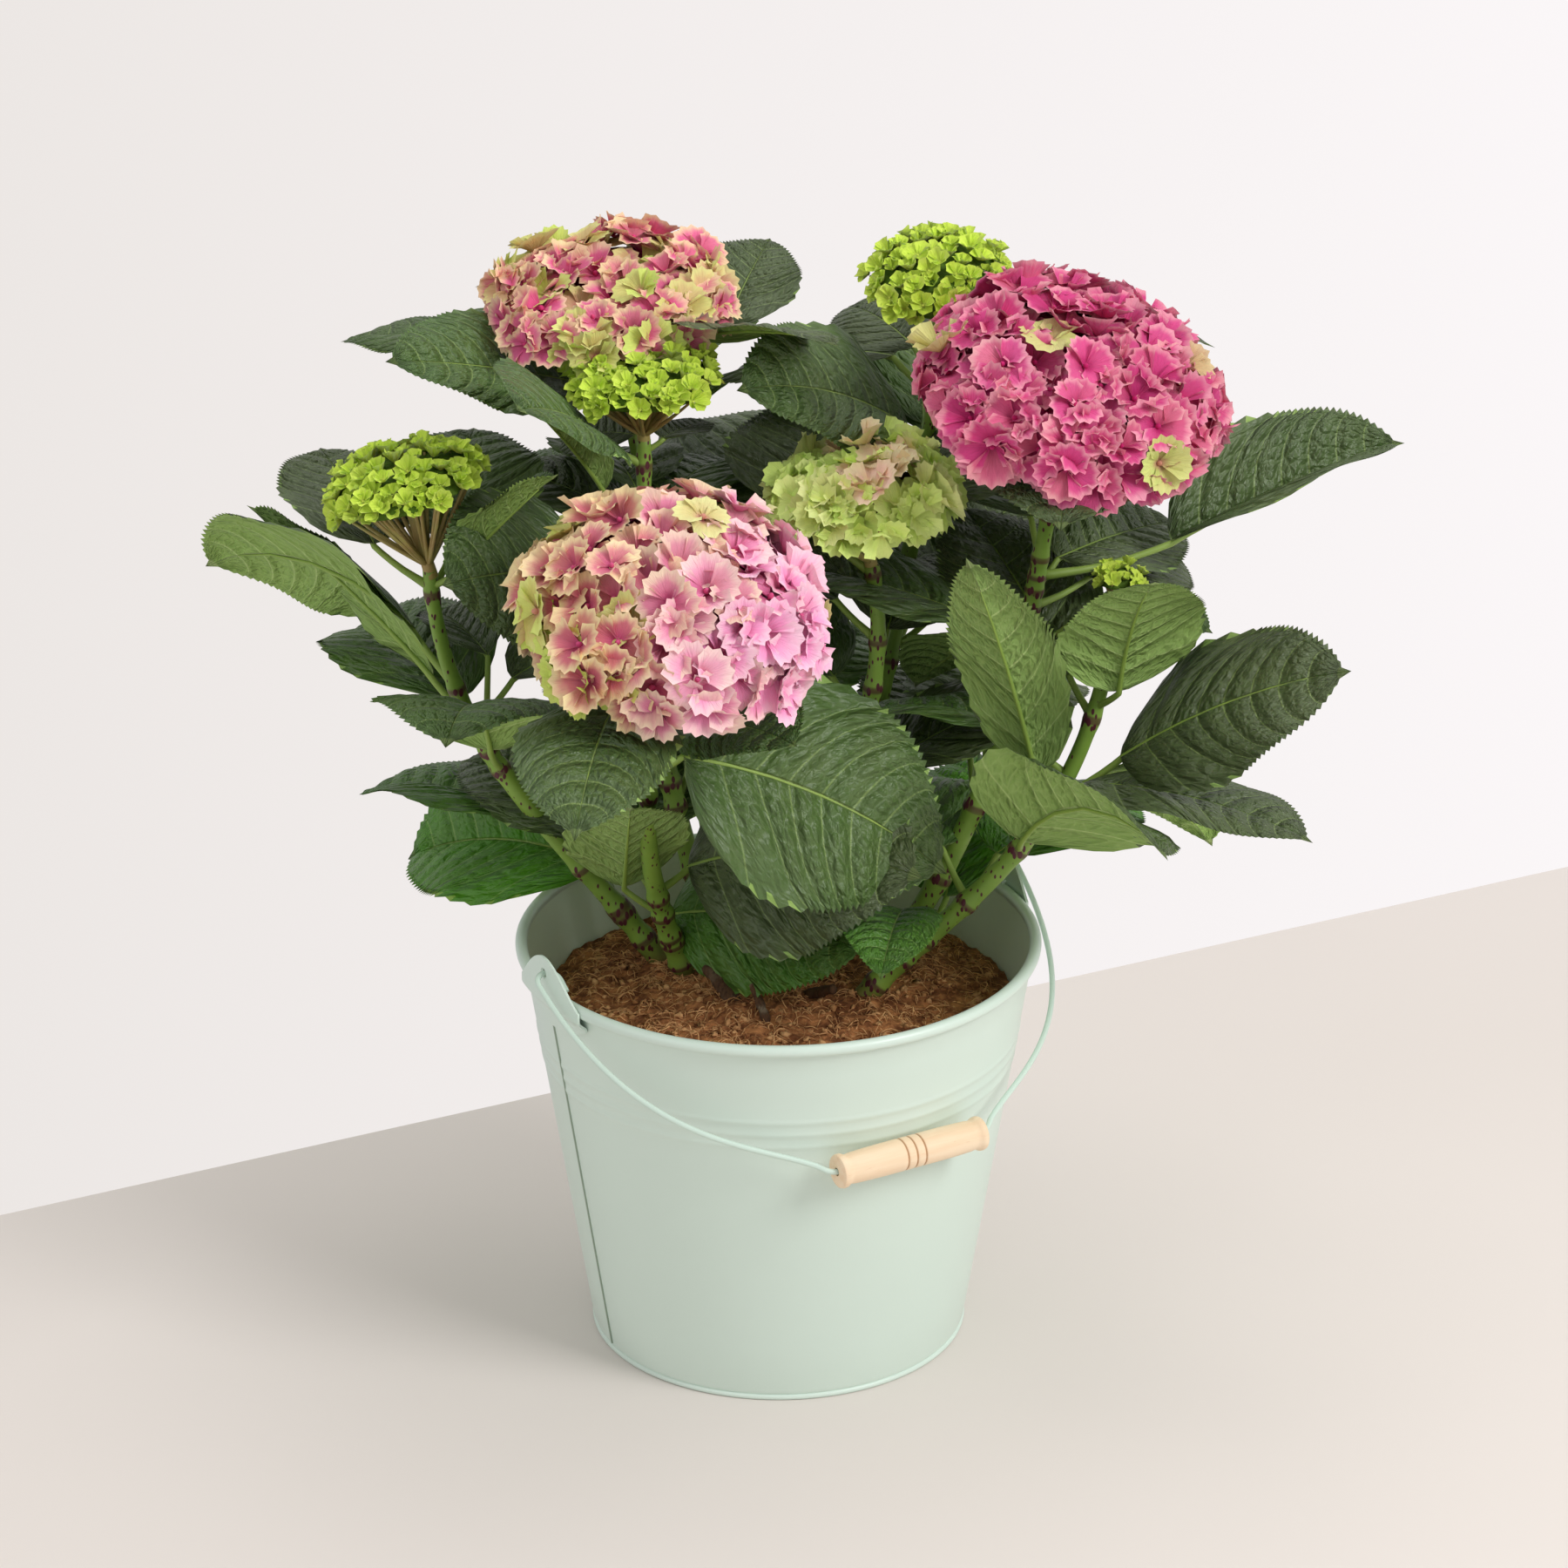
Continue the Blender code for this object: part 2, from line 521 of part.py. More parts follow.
def leaf_shape(path, leaf, grow=0.0):
    """A stalk that opens out into a blade, as one closed shape; grow makes it fatter all round."""
    root = bezier(path, leaf.at)
    out = direction(leaf.heading, leaf.stalk_rise)
    base = root + out * leaf.stalk
    facing = leaf.heading + leaf.turn
    side = direction(facing + 90, 0)
    roll, fold = math.radians(leaf.roll), math.radians(leaf.fold)
    points = []
    for centre, radius in ((root, STALK_THICK), (base - out * 0.002, STALK_THICK * 0.8)):
        flat = direction(leaf.heading + 90, 0) * (radius + grow)
        high = out.cross(flat)
        points += [centre + flat, centre + high, centre - flat, centre - high]
    centre = base
    steps = 40
    for i in range(steps + 1):
        s = i / steps
        ahead = direction(facing, leaf.rise - leaf.droop * s)
        if any(abs(s - station) < 1e-6 for station in STATIONS):
            up = ahead.cross(side)
            across = side * math.cos(roll) + up * math.sin(roll)
            normal = up * math.cos(roll) - side * math.sin(roll)
            reach = leaf.length * leaf.slim / 2 * half_width(s)
            thick = normal * (BLADE_THICK / 2 + grow)
            points += [centre + (across * math.cos(fold) + normal * math.sin(fold)) * reach,
                       centre + thick,
                       centre + (normal * math.sin(fold) - across * math.cos(fold)) * reach,
                       centre - thick]
        centre = centre + ahead * (leaf.length / steps)
    points.append(centre)
    rings = len(points) // 4
    faces = [(0, 1, 2, 3)]
    for low in range(0, 4 * rings - 4, 4):
        faces.extend((low + k, low + (k + 1) % 4, low + 4 + (k + 1) % 4, low + 4 + k)
                     for k in range(4))
    last = 4 * rings - 4
    faces.extend((last + k, last + (k + 1) % 4, len(points) - 1) for k in range(4))
    return points, faces


def fill_leaves(shoot, rng):
    """Pairs of leaves by rule, each pair at a right angle to the pair below it, and opposite
    each other but where one is turned away from the near side."""
    leaves = []
    for pair in range(shoot.fill):
        at = shoot.split + 0.08 + (0.88 - shoot.split) * (pair + 0.3) / shoot.fill
        for side in (0, 180):
            heading = shoot.fill_heading + 90 * pair + side + rng.uniform(-14, 14)
            if NEAR_SIDE[0] < heading % 360 < NEAR_SIDE[1]:
                heading = -heading
            leaves.append(Leaf(at, heading, rng.uniform(-10, 10), rng.uniform(10, 32),
                               rng.uniform(20, 50), rng.uniform(-15, 15),
                               rng.uniform(0.095, 0.125), 0.72, rng.uniform(6, 18),
                               rng.uniform(0.024, 0.036)))
    return leaves


NUDGES = ((0, 0), (6, 0), (-6, 0), (0, 8), (0, -8), (12, 0), (-12, 0), (8, 14), (8, -14),
          (18, 0), (-18, 0), (-8, 14), (-8, -14), (24, 0), (0, 25), (0, -25))


def place_leaf(shoot, leaf, obstacles, group):
    """The leaf, nudged until it touches nothing of another group, or None if it never clears."""
    others = [other for name, other in obstacles if name != group]
    for share in (1, 0.86, 0.72):
        for lower in (0, 0.06, 0.12):
            for more_rise, more_turn in NUDGES:
                tried = leaf._replace(rise=leaf.rise + more_rise, heading=leaf.heading + more_turn,
                                      length=leaf.length * share,
                                      at=max(leaf.at - lower, shoot.split + 0.03))
                tree = search_tree(leaf_shape(shoot.path, tried, 0.0004))
                if not any(tree.overlap(other) for other in others):
                    return tried
    return None


def cane_limb(shoot):
    """Path and radii of the bare part of a shoot, from its foot up to its leafy stem."""
    steps = 4
    radii = blend(FOOT_THICK, FOOT_THICK + (TIP_THICK - FOOT_THICK) * shoot.split, steps)
    return along(shoot.path, 0, shoot.split, steps), radii


def stem_shape(shoot):
    """The stem that carries a shoot's leaves, from just above its cane to its tip."""
    step = (bezier(shoot.path, shoot.split + 0.01) - bezier(shoot.path, shoot.split)).length
    start = shoot.split + 0.01 * GAP / step
    steps = 7
    here = FOOT_THICK + (TIP_THICK - FOOT_THICK) * start
    return tube(along(shoot.path, start, 1, steps), blend(here, TIP_THICK, steps), LIMB_SIDES)


def add_leaves(name, shoot, leaves, obstacles, kept):
    """Place each leaf of a shoot in turn, and keep those that find room."""
    for leaf in leaves:
        placed = place_leaf(shoot, leaf, obstacles, name)
        if placed is None:
            print("no room for a leaf of", name, "at", leaf.at)
            continue
        shape = leaf_shape(shoot.path, placed)
        obstacles.append((name, search_tree(shape)))
        kept.append(shape)


# --- flower heads ---------------------------------------------------------------------
def floret_shape(place, out, size, depth, spin):
    """A cupped floret of four petals on a point that reaches into the dome."""
    side = out.orthogonal().normalized()
    other = out.cross(side)
    points = [place + out * (size * 0.10), place - out * depth]
    for k in range(8):
        a = spin + math.tau * k / 8
        reach, lift = (size, size * 0.28) if k % 2 == 0 else (size * 0.74, size * 0.12)
        points.append(place + (side * math.cos(a) + other * math.sin(a)) * reach + out * lift)
    faces = []
    for k in range(8):
        n = (k + 1) % 8
        faces.append((0, 2 + k, 2 + n))
        faces.append((1, 2 + n, 2 + k))
    return points, faces


def head_frame(head, tip):
    """Turns the dome's own Z to point from the stem's tip to its centre."""
    axis = (Vector(head.centre) - tip).normalized()
    return Matrix.Translation(head.centre) @ axis.to_track_quat("Z", "Y").to_matrix().to_4x4()


def dome_point(head, down, spin, sink=0.0):
    """A point on the dome, sunk by some depth; the underside is flatter than the top."""
    height = head.height if down <= 90 else head.height * 0.45
    a = math.radians(down)
    return Vector(((head.radius - sink) * math.sin(a) * math.cos(spin),
                   (head.radius - sink) * math.sin(a) * math.sin(spin),
                   (height - sink) * math.cos(a)))


def head_body(head, path):
    """The shapes that carry a head's florets: its stalk, its core and any arms that show."""
    tip = bezier(path, 1)
    place = head_frame(head, tip)
    out = (Vector(head.centre) - tip).normalized()
    sink = head.petal_depth
    rise = (Vector(path[3]) - Vector(path[2])).normalized()
    foot = tip + rise * GAP
    neck = foot + rise * 0.002
    profile = [(0, -(head.height * 0.45 - sink * 0.3))]
    for down in (150, 120, 90, 60, 30):
        point = dome_point(head, down, 0, sink * (0.3 if down > 90 else 1))
        profile.append((point.x, point.z))
    profile.append((0, head.height - sink))
    points, faces = lathe(profile, 10)
    inside = Vector(head.centre) - out * (head.height * 0.1)
    shapes = [tube([foot, neck, inside], [TIP_THICK, TIP_THICK * 0.95, 0.003], LIMB_SIDES),
              ([place @ Vector(p) for p in points], faces)]
    for k in range(head.arms):
        a = math.tau * (k + 0.5) / head.arms
        end = place @ Vector((head.radius * 0.62 * math.cos(a), head.radius * 0.62 * math.sin(a), 0))
        bend = neck.lerp(end, 0.5) - out * (head.radius * 0.08)
        shapes.append(tube([neck, bend, end], [0.0020, 0.0018, 0.0018], 3))
    return shapes


def head_florets(name, head, path, obstacles, rng):
    """The florets of a head, less those that would touch another shoot."""
    place = head_frame(head, bezier(path, 1))
    turn = place.to_3x3()
    golden = math.pi * (3 - math.sqrt(5))
    floor = math.cos(math.radians(head.reach))
    kept = []
    for i in range(head.florets):
        down = math.degrees(math.acos(1 - (1 - floor) * (i + 0.5) / head.florets))
        spin = i * golden + rng.uniform(-0.12, 0.12)
        on_dome = place @ dome_point(head, down, spin, head.petal_depth * 0.35)
        a = math.radians(down)
        lean = Vector((math.sin(a) * math.cos(spin) / head.radius,
                       math.sin(a) * math.sin(spin) / head.radius,
                       math.cos(a) / head.height)).normalized()
        lean = (turn @ (lean + Vector((0, 0, 0.35)))).normalized()
        size = head.floret * rng.uniform(0.92, 1.08)
        turned = rng.uniform(0, 1.5)
        depth = head.petal_depth * 1.6
        tree = search_tree(floret_shape(on_dome, lean, size + 0.0006, depth, turned))
        if not any(tree.overlap(other) for group, other in obstacles if group != name):
            kept.append(floret_shape(on_dome, lean, size, depth, turned))
    return kept


# --- the whole plant ------------------------------------------------------------------------------
def clear_scene():
    """Start from an empty scene."""
    for thing in list(bpy.data.objects):
        bpy.data.objects.remove(thing)


def main():
    clear_scene()
    pail = make_pail()
    ears = [make_ear("ear_left", EAR_HEADING + 180), make_ear("ear_right", EAR_HEADING)]
    bail = make_bail()
    grip = make_grip(bail)
    canes = {name: cane_limb(shoot) for name, shoot in SHOOTS.items()}
    old = [stub_limb(*stub) for stub in STUBS]
    soil = make_soil(list(canes.values()) + old)
    stubs = [solid("stub_%d" % (i + 1), tube(*limb, LIMB_SIDES, True), "old_wood")
             for i, limb in enumerate(old)]

    bpy.context.view_layer.update()
    obstacles = [("pot", search_tree(shape_of(thing))) for thing in [pail, soil] + ears + stubs]
    obstacles.extend(("pot", search_tree(shape)) for shape in swept_space(bail, grip))

    rng = random.Random(11)
    bodies, leaves = {}, {}
    for name, shoot in SHOOTS.items():
        shape = tube(*canes[name], LIMB_SIDES, True)
        cane = solid("cane_" + name, shape, "green_stem")
        obstacles.append((cane.name, search_tree(shape)))
        obstacles.append(("leaves_" + name, search_tree(stem_shape(shoot))))
    for name, head in HEADS.items():
        bodies[name] = head_body(head, SHOOTS[name].path)
        obstacles.extend(("bloom_" + name, search_tree(shape)) for shape in bodies[name])
    for name, head in HEADS.items():
        florets = head_florets("bloom_" + name, head, SHOOTS[name].path, obstacles, rng)
        bodies[name] += florets
        obstacles.extend(("bloom_" + name, search_tree(shape)) for shape in florets)
    for name, shoot in SHOOTS.items():
        leaves[name] = []
        add_leaves("leaves_" + name, shoot, shoot.leaves, obstacles, leaves[name])
    for name, shoot in SHOOTS.items():
        add_leaves("leaves_" + name, shoot, fill_leaves(shoot, rng), obstacles, leaves[name])

    for name, shoot in SHOOTS.items():
        stem = solid("leaves_" + name, stem_shape(shoot), "leaf")
        combine(stem, [solid("piece", shape, "leaf") for shape in leaves[name]], "UNION")
        finish = HEAD_COLOURS.get(name, "lime_petal")
        bloom = solid("bloom_" + name, bodies[name][0], finish)
        combine(bloom, [solid("piece", shape, finish) for shape in bodies[name][1:]], "UNION")


main()
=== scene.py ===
"""A potted hydrangea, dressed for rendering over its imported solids.

The pail, its ears, bail and grip are modelled with mesh tools. The shoots, leaves and flower
heads are grown by formula from a few sizes each, as joined meshes. All lengths are in metres.
"""
from __future__ import annotations

import itertools
import logging
import math
import random
import sys
from dataclasses import dataclass, field
from enum import Enum
from typing import Iterable, Sequence

import bpy
import numpy as np
from mathutils import Matrix, Vector, noise
from mathutils.bvhtree import BVHTree

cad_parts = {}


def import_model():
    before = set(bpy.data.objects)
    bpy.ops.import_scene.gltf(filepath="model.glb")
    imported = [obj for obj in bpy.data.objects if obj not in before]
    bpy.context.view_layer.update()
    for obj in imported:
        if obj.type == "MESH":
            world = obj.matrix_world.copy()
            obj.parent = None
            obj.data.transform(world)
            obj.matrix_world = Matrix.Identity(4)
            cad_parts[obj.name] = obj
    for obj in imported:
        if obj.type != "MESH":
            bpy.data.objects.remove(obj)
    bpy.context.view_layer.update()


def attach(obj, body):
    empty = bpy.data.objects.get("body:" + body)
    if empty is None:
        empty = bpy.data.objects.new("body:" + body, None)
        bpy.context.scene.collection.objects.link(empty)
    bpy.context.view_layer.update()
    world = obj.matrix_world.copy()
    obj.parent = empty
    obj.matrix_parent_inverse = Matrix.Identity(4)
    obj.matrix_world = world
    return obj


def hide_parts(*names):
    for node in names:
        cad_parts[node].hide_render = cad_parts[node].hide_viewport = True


log = logging.getLogger("hydrangea")

Point = tuple[float, float, float]
Colour = tuple[float, float, float]
Material = bpy.types.Material
Piece = bpy.types.Object
Array = np.ndarray

# The bail's axis runs through both ears: its heading in degrees, and its height.
EAR_HEADING = 30.5
AXIS_HEIGHT = 0.2205
# Where the grip is grooved, along it from its middle.
GROOVES = (-0.005, 0.0, 0.005)
# How many pairs of side veins a blade has, in its shape and in its skin.
VEINS = 8
# The height of the soil's level where the shoots leave it.
GROUND = 0.178
# A leaf of this length has stalk, rib and teeth at their plain sizes.
PLAIN_LEAF = 0.12


# ---- shader maths
class Signal:
    """A shader socket that takes part in Python arithmetic."""

    def __init__(self, nodes: Nodes, socket: bpy.types.NodeSocket) -> None:
        """Wrap an output socket of a tree."""
        self.nodes = nodes
        self.socket = socket

    def _math(self, operation: str, *values: Signal | float) -> Signal:
        """Feed the values to a Math node of one operation."""
        return self.nodes.node("ShaderNodeMath", {"operation": operation},
                               dict(enumerate(values)))

    def __add__(self, other: Signal | float) -> Signal:
        """self + other."""
        return self._math("ADD", self, other)

    def __radd__(self, other: float) -> Signal:
        """other + self."""
        return self._math("ADD", other, self)

    def __sub__(self, other: Signal | float) -> Signal:
        """self - other."""
        return self._math("SUBTRACT", self, other)

    def __rsub__(self, other: float) -> Signal:
        """other - self."""
        return self._math("SUBTRACT", other, self)

    def __mul__(self, other: Signal | float) -> Signal:
        """self * other."""
        return self._math("MULTIPLY", self, other)

    def __rmul__(self, other: float) -> Signal:
        """other * self."""
        return self._math("MULTIPLY", other, self)

    def __abs__(self) -> Signal:
        """The size of self, without its sign."""
        return self._math("ABSOLUTE", self)

    def pingpong(self, span: float) -> Signal:
        """self folded to and fro between 0 and span."""
        return self._math("PINGPONG", self, span)

    def ramp(self, low: float, high: float) -> Signal:
        """A smooth step from 0 at low to 1 at high."""
        return self.nodes.node("ShaderNodeMapRange", {"interpolation_type": "SMOOTHSTEP"},
                               {"Value": self, "From Min": low, "From Max": high})


class Nodes:
    """A tree of shader nodes that is added to node by node."""

    def __init__(self, tree: bpy.types.NodeTree) -> None:
        """Take over a tree."""
        self.tree = tree

    def node(self, kind: str, settings: dict | None = None, sockets: dict | None = None,
             output: int | str = 0) -> Signal:
        """Add any node.

        Args:
            kind: The node's type.
            settings: The node's own settings, set first.
            sockets: Values or signals for its inputs, by name or number.
            output: The output to return.

        Returns:
            The chosen output as a signal.
        """
        made = self.tree.nodes.new(kind)
        for key, value in (settings or {}).items():
            setattr(made, key, value)
        for key, value in (sockets or {}).items():
            self.put(made.inputs[key], value)
        return Signal(self, made.outputs[output])

    def put(self, socket: bpy.types.NodeSocket, value: Signal | float | Sequence[float]) -> None:
        """Link a signal into a socket, or set the socket's own value.

        Args:
            socket: An input socket.
            value: A signal, a number, or a vector or colour of three numbers.
        """
        if isinstance(value, Signal):
            self.tree.links.new(value.socket, socket)
        elif isinstance(value, (int, float)):
            socket.default_value = value
        else:
            size = len(socket.default_value)
            socket.default_value = (*value, 1.0)[:size] if size == 4 else tuple(value)

    def mix(self, share: Signal | float, low: Signal | Colour, high: Signal | Colour) -> Signal:
        """A colour between two others, by the second one's share."""
        return self.node("ShaderNodeMix", {"data_type": "RGBA"}, {0: share, 6: low, 7: high}, 2)


class Recipe(Nodes):
    """A Principled material and the nodes that feed it."""

    def __init__(self, name: str, **constants: float | Colour) -> None:
        """Start a material.

        Args:
            name: The material's name.
            **constants: Values for the shader's own sockets, with _ for a space.
        """
        self.material = bpy.data.materials.new(name)
        self.material.use_nodes = True
        super().__init__(self.material.node_tree)
        self.shader = self.tree.nodes["Principled BSDF"]
        for key, value in constants.items():
            self.put(self.shader.inputs[key.replace("_", " ")], value)

    def place(self) -> Signal:
        """The point on the piece, in metres."""
        return self.node("ShaderNodeTexCoord", output="Object")

    def trait(self, name: str) -> Signal:
        """A number that the mesh carries."""
        return self.node("ShaderNodeAttribute", {"attribute_name": name}, output="Fac")

    def stretched(self, vector: Signal, scale: Sequence[float]) -> Signal:
        """A vector scaled along each axis."""
        return self.node("ShaderNodeMapping", None, {"Vector": vector, "Scale": tuple(scale)})

    def joined(self, x: Signal, y: Signal, z: Signal) -> Signal:
        """A vector of three numbers."""
        return self.node("ShaderNodeCombineXYZ", None, {"X": x, "Y": y, "Z": z})

    def speckle(self, vector: Signal, scale: float, detail: float = 2.0,
                rough: float = 0.5) -> Signal:
        """Noise from 0 to 1 at a scale."""
        return self.node("ShaderNodeTexNoise", None,
                         {"Vector": vector, "Scale": scale, "Detail": detail, "Roughness": rough})

    def cells(self, vector: Signal, scale: float, feature: str = "F1") -> Signal:
        """How far it is to the middle of the nearest cell, or to the edge of the cell."""
        return self.node("ShaderNodeTexVoronoi", {"feature": feature},
                         {"Vector": vector, "Scale": scale, "Randomness": 1.0})

    def shade(self, colour: Signal | Colour, share: Signal | float) -> Signal:
        """A colour made lighter or darker by a factor."""
        return self.node("ShaderNodeVectorMath", {"operation": "SCALE"},
                         {0: colour, "Scale": share})

    def finish(self, colour: Signal, roughness: Signal, height: Signal | None = None,
               depth: float = 0.0, strength: float = 1.0) -> Material:
        """Feed what varies over the surface to the shader.

        Args:
            colour: The base colour.
            roughness: The roughness.
            height: The relief, which a bump node turns into the normal. Without one it is flat.
            depth: How far a height of 1 stands out.
            strength: How strongly the relief shows.

        Returns:
            The material.
        """
        self.put(self.shader.inputs["Base Color"], colour)
        self.put(self.shader.inputs["Roughness"], roughness)
        if height is not None:
            bump = self.node("ShaderNodeBump", None,
                             {"Height": height, "Distance": depth, "Strength": strength})
            self.put(self.shader.inputs["Normal"], bump)
        return self.material


def srgb(red: float, green: float, blue: float) -> Colour:
    """A linear colour from 0 to 255 display values."""
    return tuple(v / 12.92 if v <= 0.04045 else ((v + 0.055) / 1.055) ** 2.4
                 for v in (red / 255, green / 255, blue / 255))


# ---- finishes
@dataclass(frozen=True)
class Paint:
    """Satin powder paint over steel sheet or wire."""

    name: str
    colour: Colour
    roughness: float = 0.38
    dull: float = 0.955

    def make(self) -> Material:
        """Build the material.

        Returns:
            The material.
        """
        recipe = Recipe(self.name, Coat_Weight=0.15, Coat_Roughness=0.25, IOR=1.48)
        place = recipe.place()
        cloud = recipe.speckle(place, 9.0, 3.0)
        grain = recipe.speckle(place, 900.0, 2.0)
        dents = recipe.speckle(recipe.stretched(place, (1, 1, 0.45)), 16.0, 1.0)
        colour = recipe.mix(cloud, self.colour, tuple(c * self.dull for c in self.colour))
        roughness = self.roughness + 0.10 * (grain - 0.5) + 0.06 * (cloud - 0.5)
        return recipe.finish(colour, roughness, dents * 1.0 + grain * 0.035, 0.0007, 0.7)


@dataclass(frozen=True)
class Beech:
    """Pale turned wood with fine grain along the grip and burnished grooves."""

    name: str = "turned_beech"
    pale: Colour = srgb(246, 223, 192)
    warm: Colour = srgb(240, 209, 173)
    burnt: Colour = srgb(176, 124, 76)
    fleck: Colour = srgb(205, 165, 115)

    def make(self) -> Material:
        """Build the material.

        Returns:
            The material.
        """
        recipe = Recipe(self.name, IOR=1.45)
        turned = recipe.node("ShaderNodeMapping", None, {
            "Vector": recipe.place(), "Rotation": (0.0, 0.0, -math.radians(EAR_HEADING))})
        long = recipe.stretched(turned, (14.0, 210.0, 210.0))
        flecks = recipe.speckle(recipe.stretched(turned, (160.0, 1500.0, 1500.0)), 1.0, 2.0)
        grain = recipe.speckle(long, 1.0, 4.0, 0.6)
        colour = recipe.mix(grain.ramp(0.3, 0.75), self.pale, self.warm)
        colour = recipe.mix(flecks.ramp(0.66, 0.8) * 0.35, colour, self.fleck)
        ahead = recipe.node("ShaderNodeSeparateXYZ", None, {0: turned}, "X")
        for groove in GROOVES:
            line = 1 - abs(ahead - groove).ramp(0.00022, 0.00075)
            colour = recipe.mix(line * (0.55 + 0.4 * grain), colour, self.burnt)
        return recipe.finish(colour, 0.48 + 0.15 * grain, grain + flecks * 0.6, 0.00015, 0.6)


@dataclass(frozen=True)
class Peat:
    """Moist fibrous potting soil, or one of its lighter fibres."""

    name: str
    dark: Colour
    light: Colour
    dry: float = 1.5

    def make(self) -> Material:
        """Build the material.

        Returns:
            The material.
        """
        recipe = Recipe(self.name, Specular_IOR_Level=0.25)
        place = recipe.place()
        clods = recipe.speckle(place, 95.0, 5.0, 0.65)
        crumbs = recipe.cells(place, 420.0)
        colour = recipe.mix(clods.ramp(0.35, 0.7), self.dark, self.light)
        colour = recipe.mix(recipe.trait("tint") * 0.75, colour,
                            tuple(c * self.dry for c in self.light))
        return recipe.finish(colour, 0.82 + 0.15 * clods, clods + crumbs * 0.5, 0.002, 0.9)


@dataclass(frozen=True)
class Bark:
    """Dead fissured wood, grey over brown."""

    name: str = "dead_wood"
    brown: Colour = srgb(92, 64, 44)
    grey: Colour = srgb(134, 120, 100)
    crack: Colour = srgb(48, 32, 24)

    def make(self) -> Material:
        """Build the material.

        Returns:
            The material.
        """
        recipe = Recipe(self.name, Specular_IOR_Level=0.3)
        place = recipe.place()
        streak = recipe.speckle(recipe.stretched(place, (500.0, 500.0, 130.0)), 1.0, 4.0, 0.65)
        patch = recipe.speckle(place, 130.0, 3.0)
        colour = recipe.mix(patch.ramp(0.4, 0.66) * (0.35 + 0.65 * recipe.trait("tint")),
                            self.brown, self.grey)
        colour = recipe.mix(streak.ramp(0.45, 0.7) * 0.7, colour, self.crack)
        return recipe.finish(colour, 0.75 + 0.2 * streak, streak, 0.0012, 0.9)


@dataclass(frozen=True)
class CaneSkin:
    """Smooth green cane with dark purple flecks that crowd together at its nodes."""

    name: str
    green: Colour = srgb(150, 182, 78)
    deep: Colour = srgb(104, 142, 50)
    purple: Colour = srgb(84, 30, 42)
    woody: Colour = srgb(112, 82, 52)
    flecked: float = 1.0

    def make(self) -> Material:
        """Build the material.

        Returns:
            The material.
        """
        recipe = Recipe(self.name, Specular_IOR_Level=0.45, Subsurface_Weight=0.06,
                        Subsurface_Radius=(0.5, 1.0, 0.3), Subsurface_Scale=0.002)
        place = recipe.place()
        node = recipe.trait("node")
        spots = recipe.cells(recipe.stretched(place, (360.0, 360.0, 175.0)), 1.0)
        size = 0.16 + 0.24 * node
        fleck = (1 - (spots - size).ramp(0.0, 0.10)) * self.flecked
        cloud = recipe.speckle(place, 60.0, 3.0)
        colour = recipe.mix(cloud, self.green, self.deep)
        colour = recipe.mix(recipe.trait("tint"), colour, self.woody)
        colour = recipe.mix(fleck, colour, self.purple)
        colour = recipe.mix(node.ramp(0.72, 0.96) * 0.8 * self.flecked, colour, self.purple)
        return recipe.finish(colour, 0.42 + 0.2 * cloud, cloud + fleck * 0.3, 0.0006, 0.5)


class Side(Enum):
    """The two faces of a blade."""

    TOP = "top"
    UNDER = "under"


@dataclass(frozen=True)
class Blade:
    """A leaf's skin: dark quilted top with pale veins, or a paler underside with raised ones."""

    name: str
    side: Side
    young: Colour
    old: Colour
    flush: Colour
    vein: Colour

    def make(self) -> Material:
        """Build the material.

        Returns:
            The material.
        """
        top = self.side is Side.TOP
        recipe = Recipe(self.name, Specular_IOR_Level=0.5 if top else 0.3,
                        Subsurface_Weight=0.04, Subsurface_Radius=(0.5, 1.0, 0.2),
                        Subsurface_Scale=0.0015)
        along, across, tint = (recipe.trait(name) for name in ("along", "across", "tint"))
        place = recipe.place()
        away = abs(across)
        rib = 1 - (away + along * 0.010).ramp(0.008, 0.030)
        fold = (along * VEINS).pingpong(0.5)
        side_vein = 1 - (fold + away * 0.018).ramp(0.012, 0.050)
        weave = recipe.joined(along * 21.0, across * 6.5, tint * 29.0)
        cell, fine = (recipe.cells(weave, scale, "DISTANCE_TO_EDGE") for scale in (1.0, 2.3))
        cloud = recipe.speckle(place, 30.0, 3.0)
        grit = recipe.speckle(place, 1300.0, 2.0)
        colour = recipe.mix(tint, self.young, self.old)
        colour = recipe.mix(cloud.ramp(0.3, 0.75) * 0.35, colour, self.flush)
        colour = recipe.mix((1 - cell.ramp(0.0, 0.10)) * (0.03 if top else 0.12), colour,
                            self.vein)
        colour = recipe.mix(side_vein * (0.36 if top else 0.55), colour, self.vein)
        colour = recipe.mix(rib * (0.66 if top else 0.85), colour, self.vein)
        roughness = (0.33 if top else 0.56) + 0.12 * grit + 0.12 * cloud
        sign = 1.0 if top else -0.8
        relief = fold.ramp(0.0, 0.36) * (0.9 * sign) + cell.ramp(0.0, 0.40) * (sign * 0.55)
        relief = relief + fine.ramp(0.0, 0.3) * (sign * 0.12) - rib * (0.6 * sign) + grit * 0.06
        return recipe.finish(colour, roughness, relief, 0.0022)


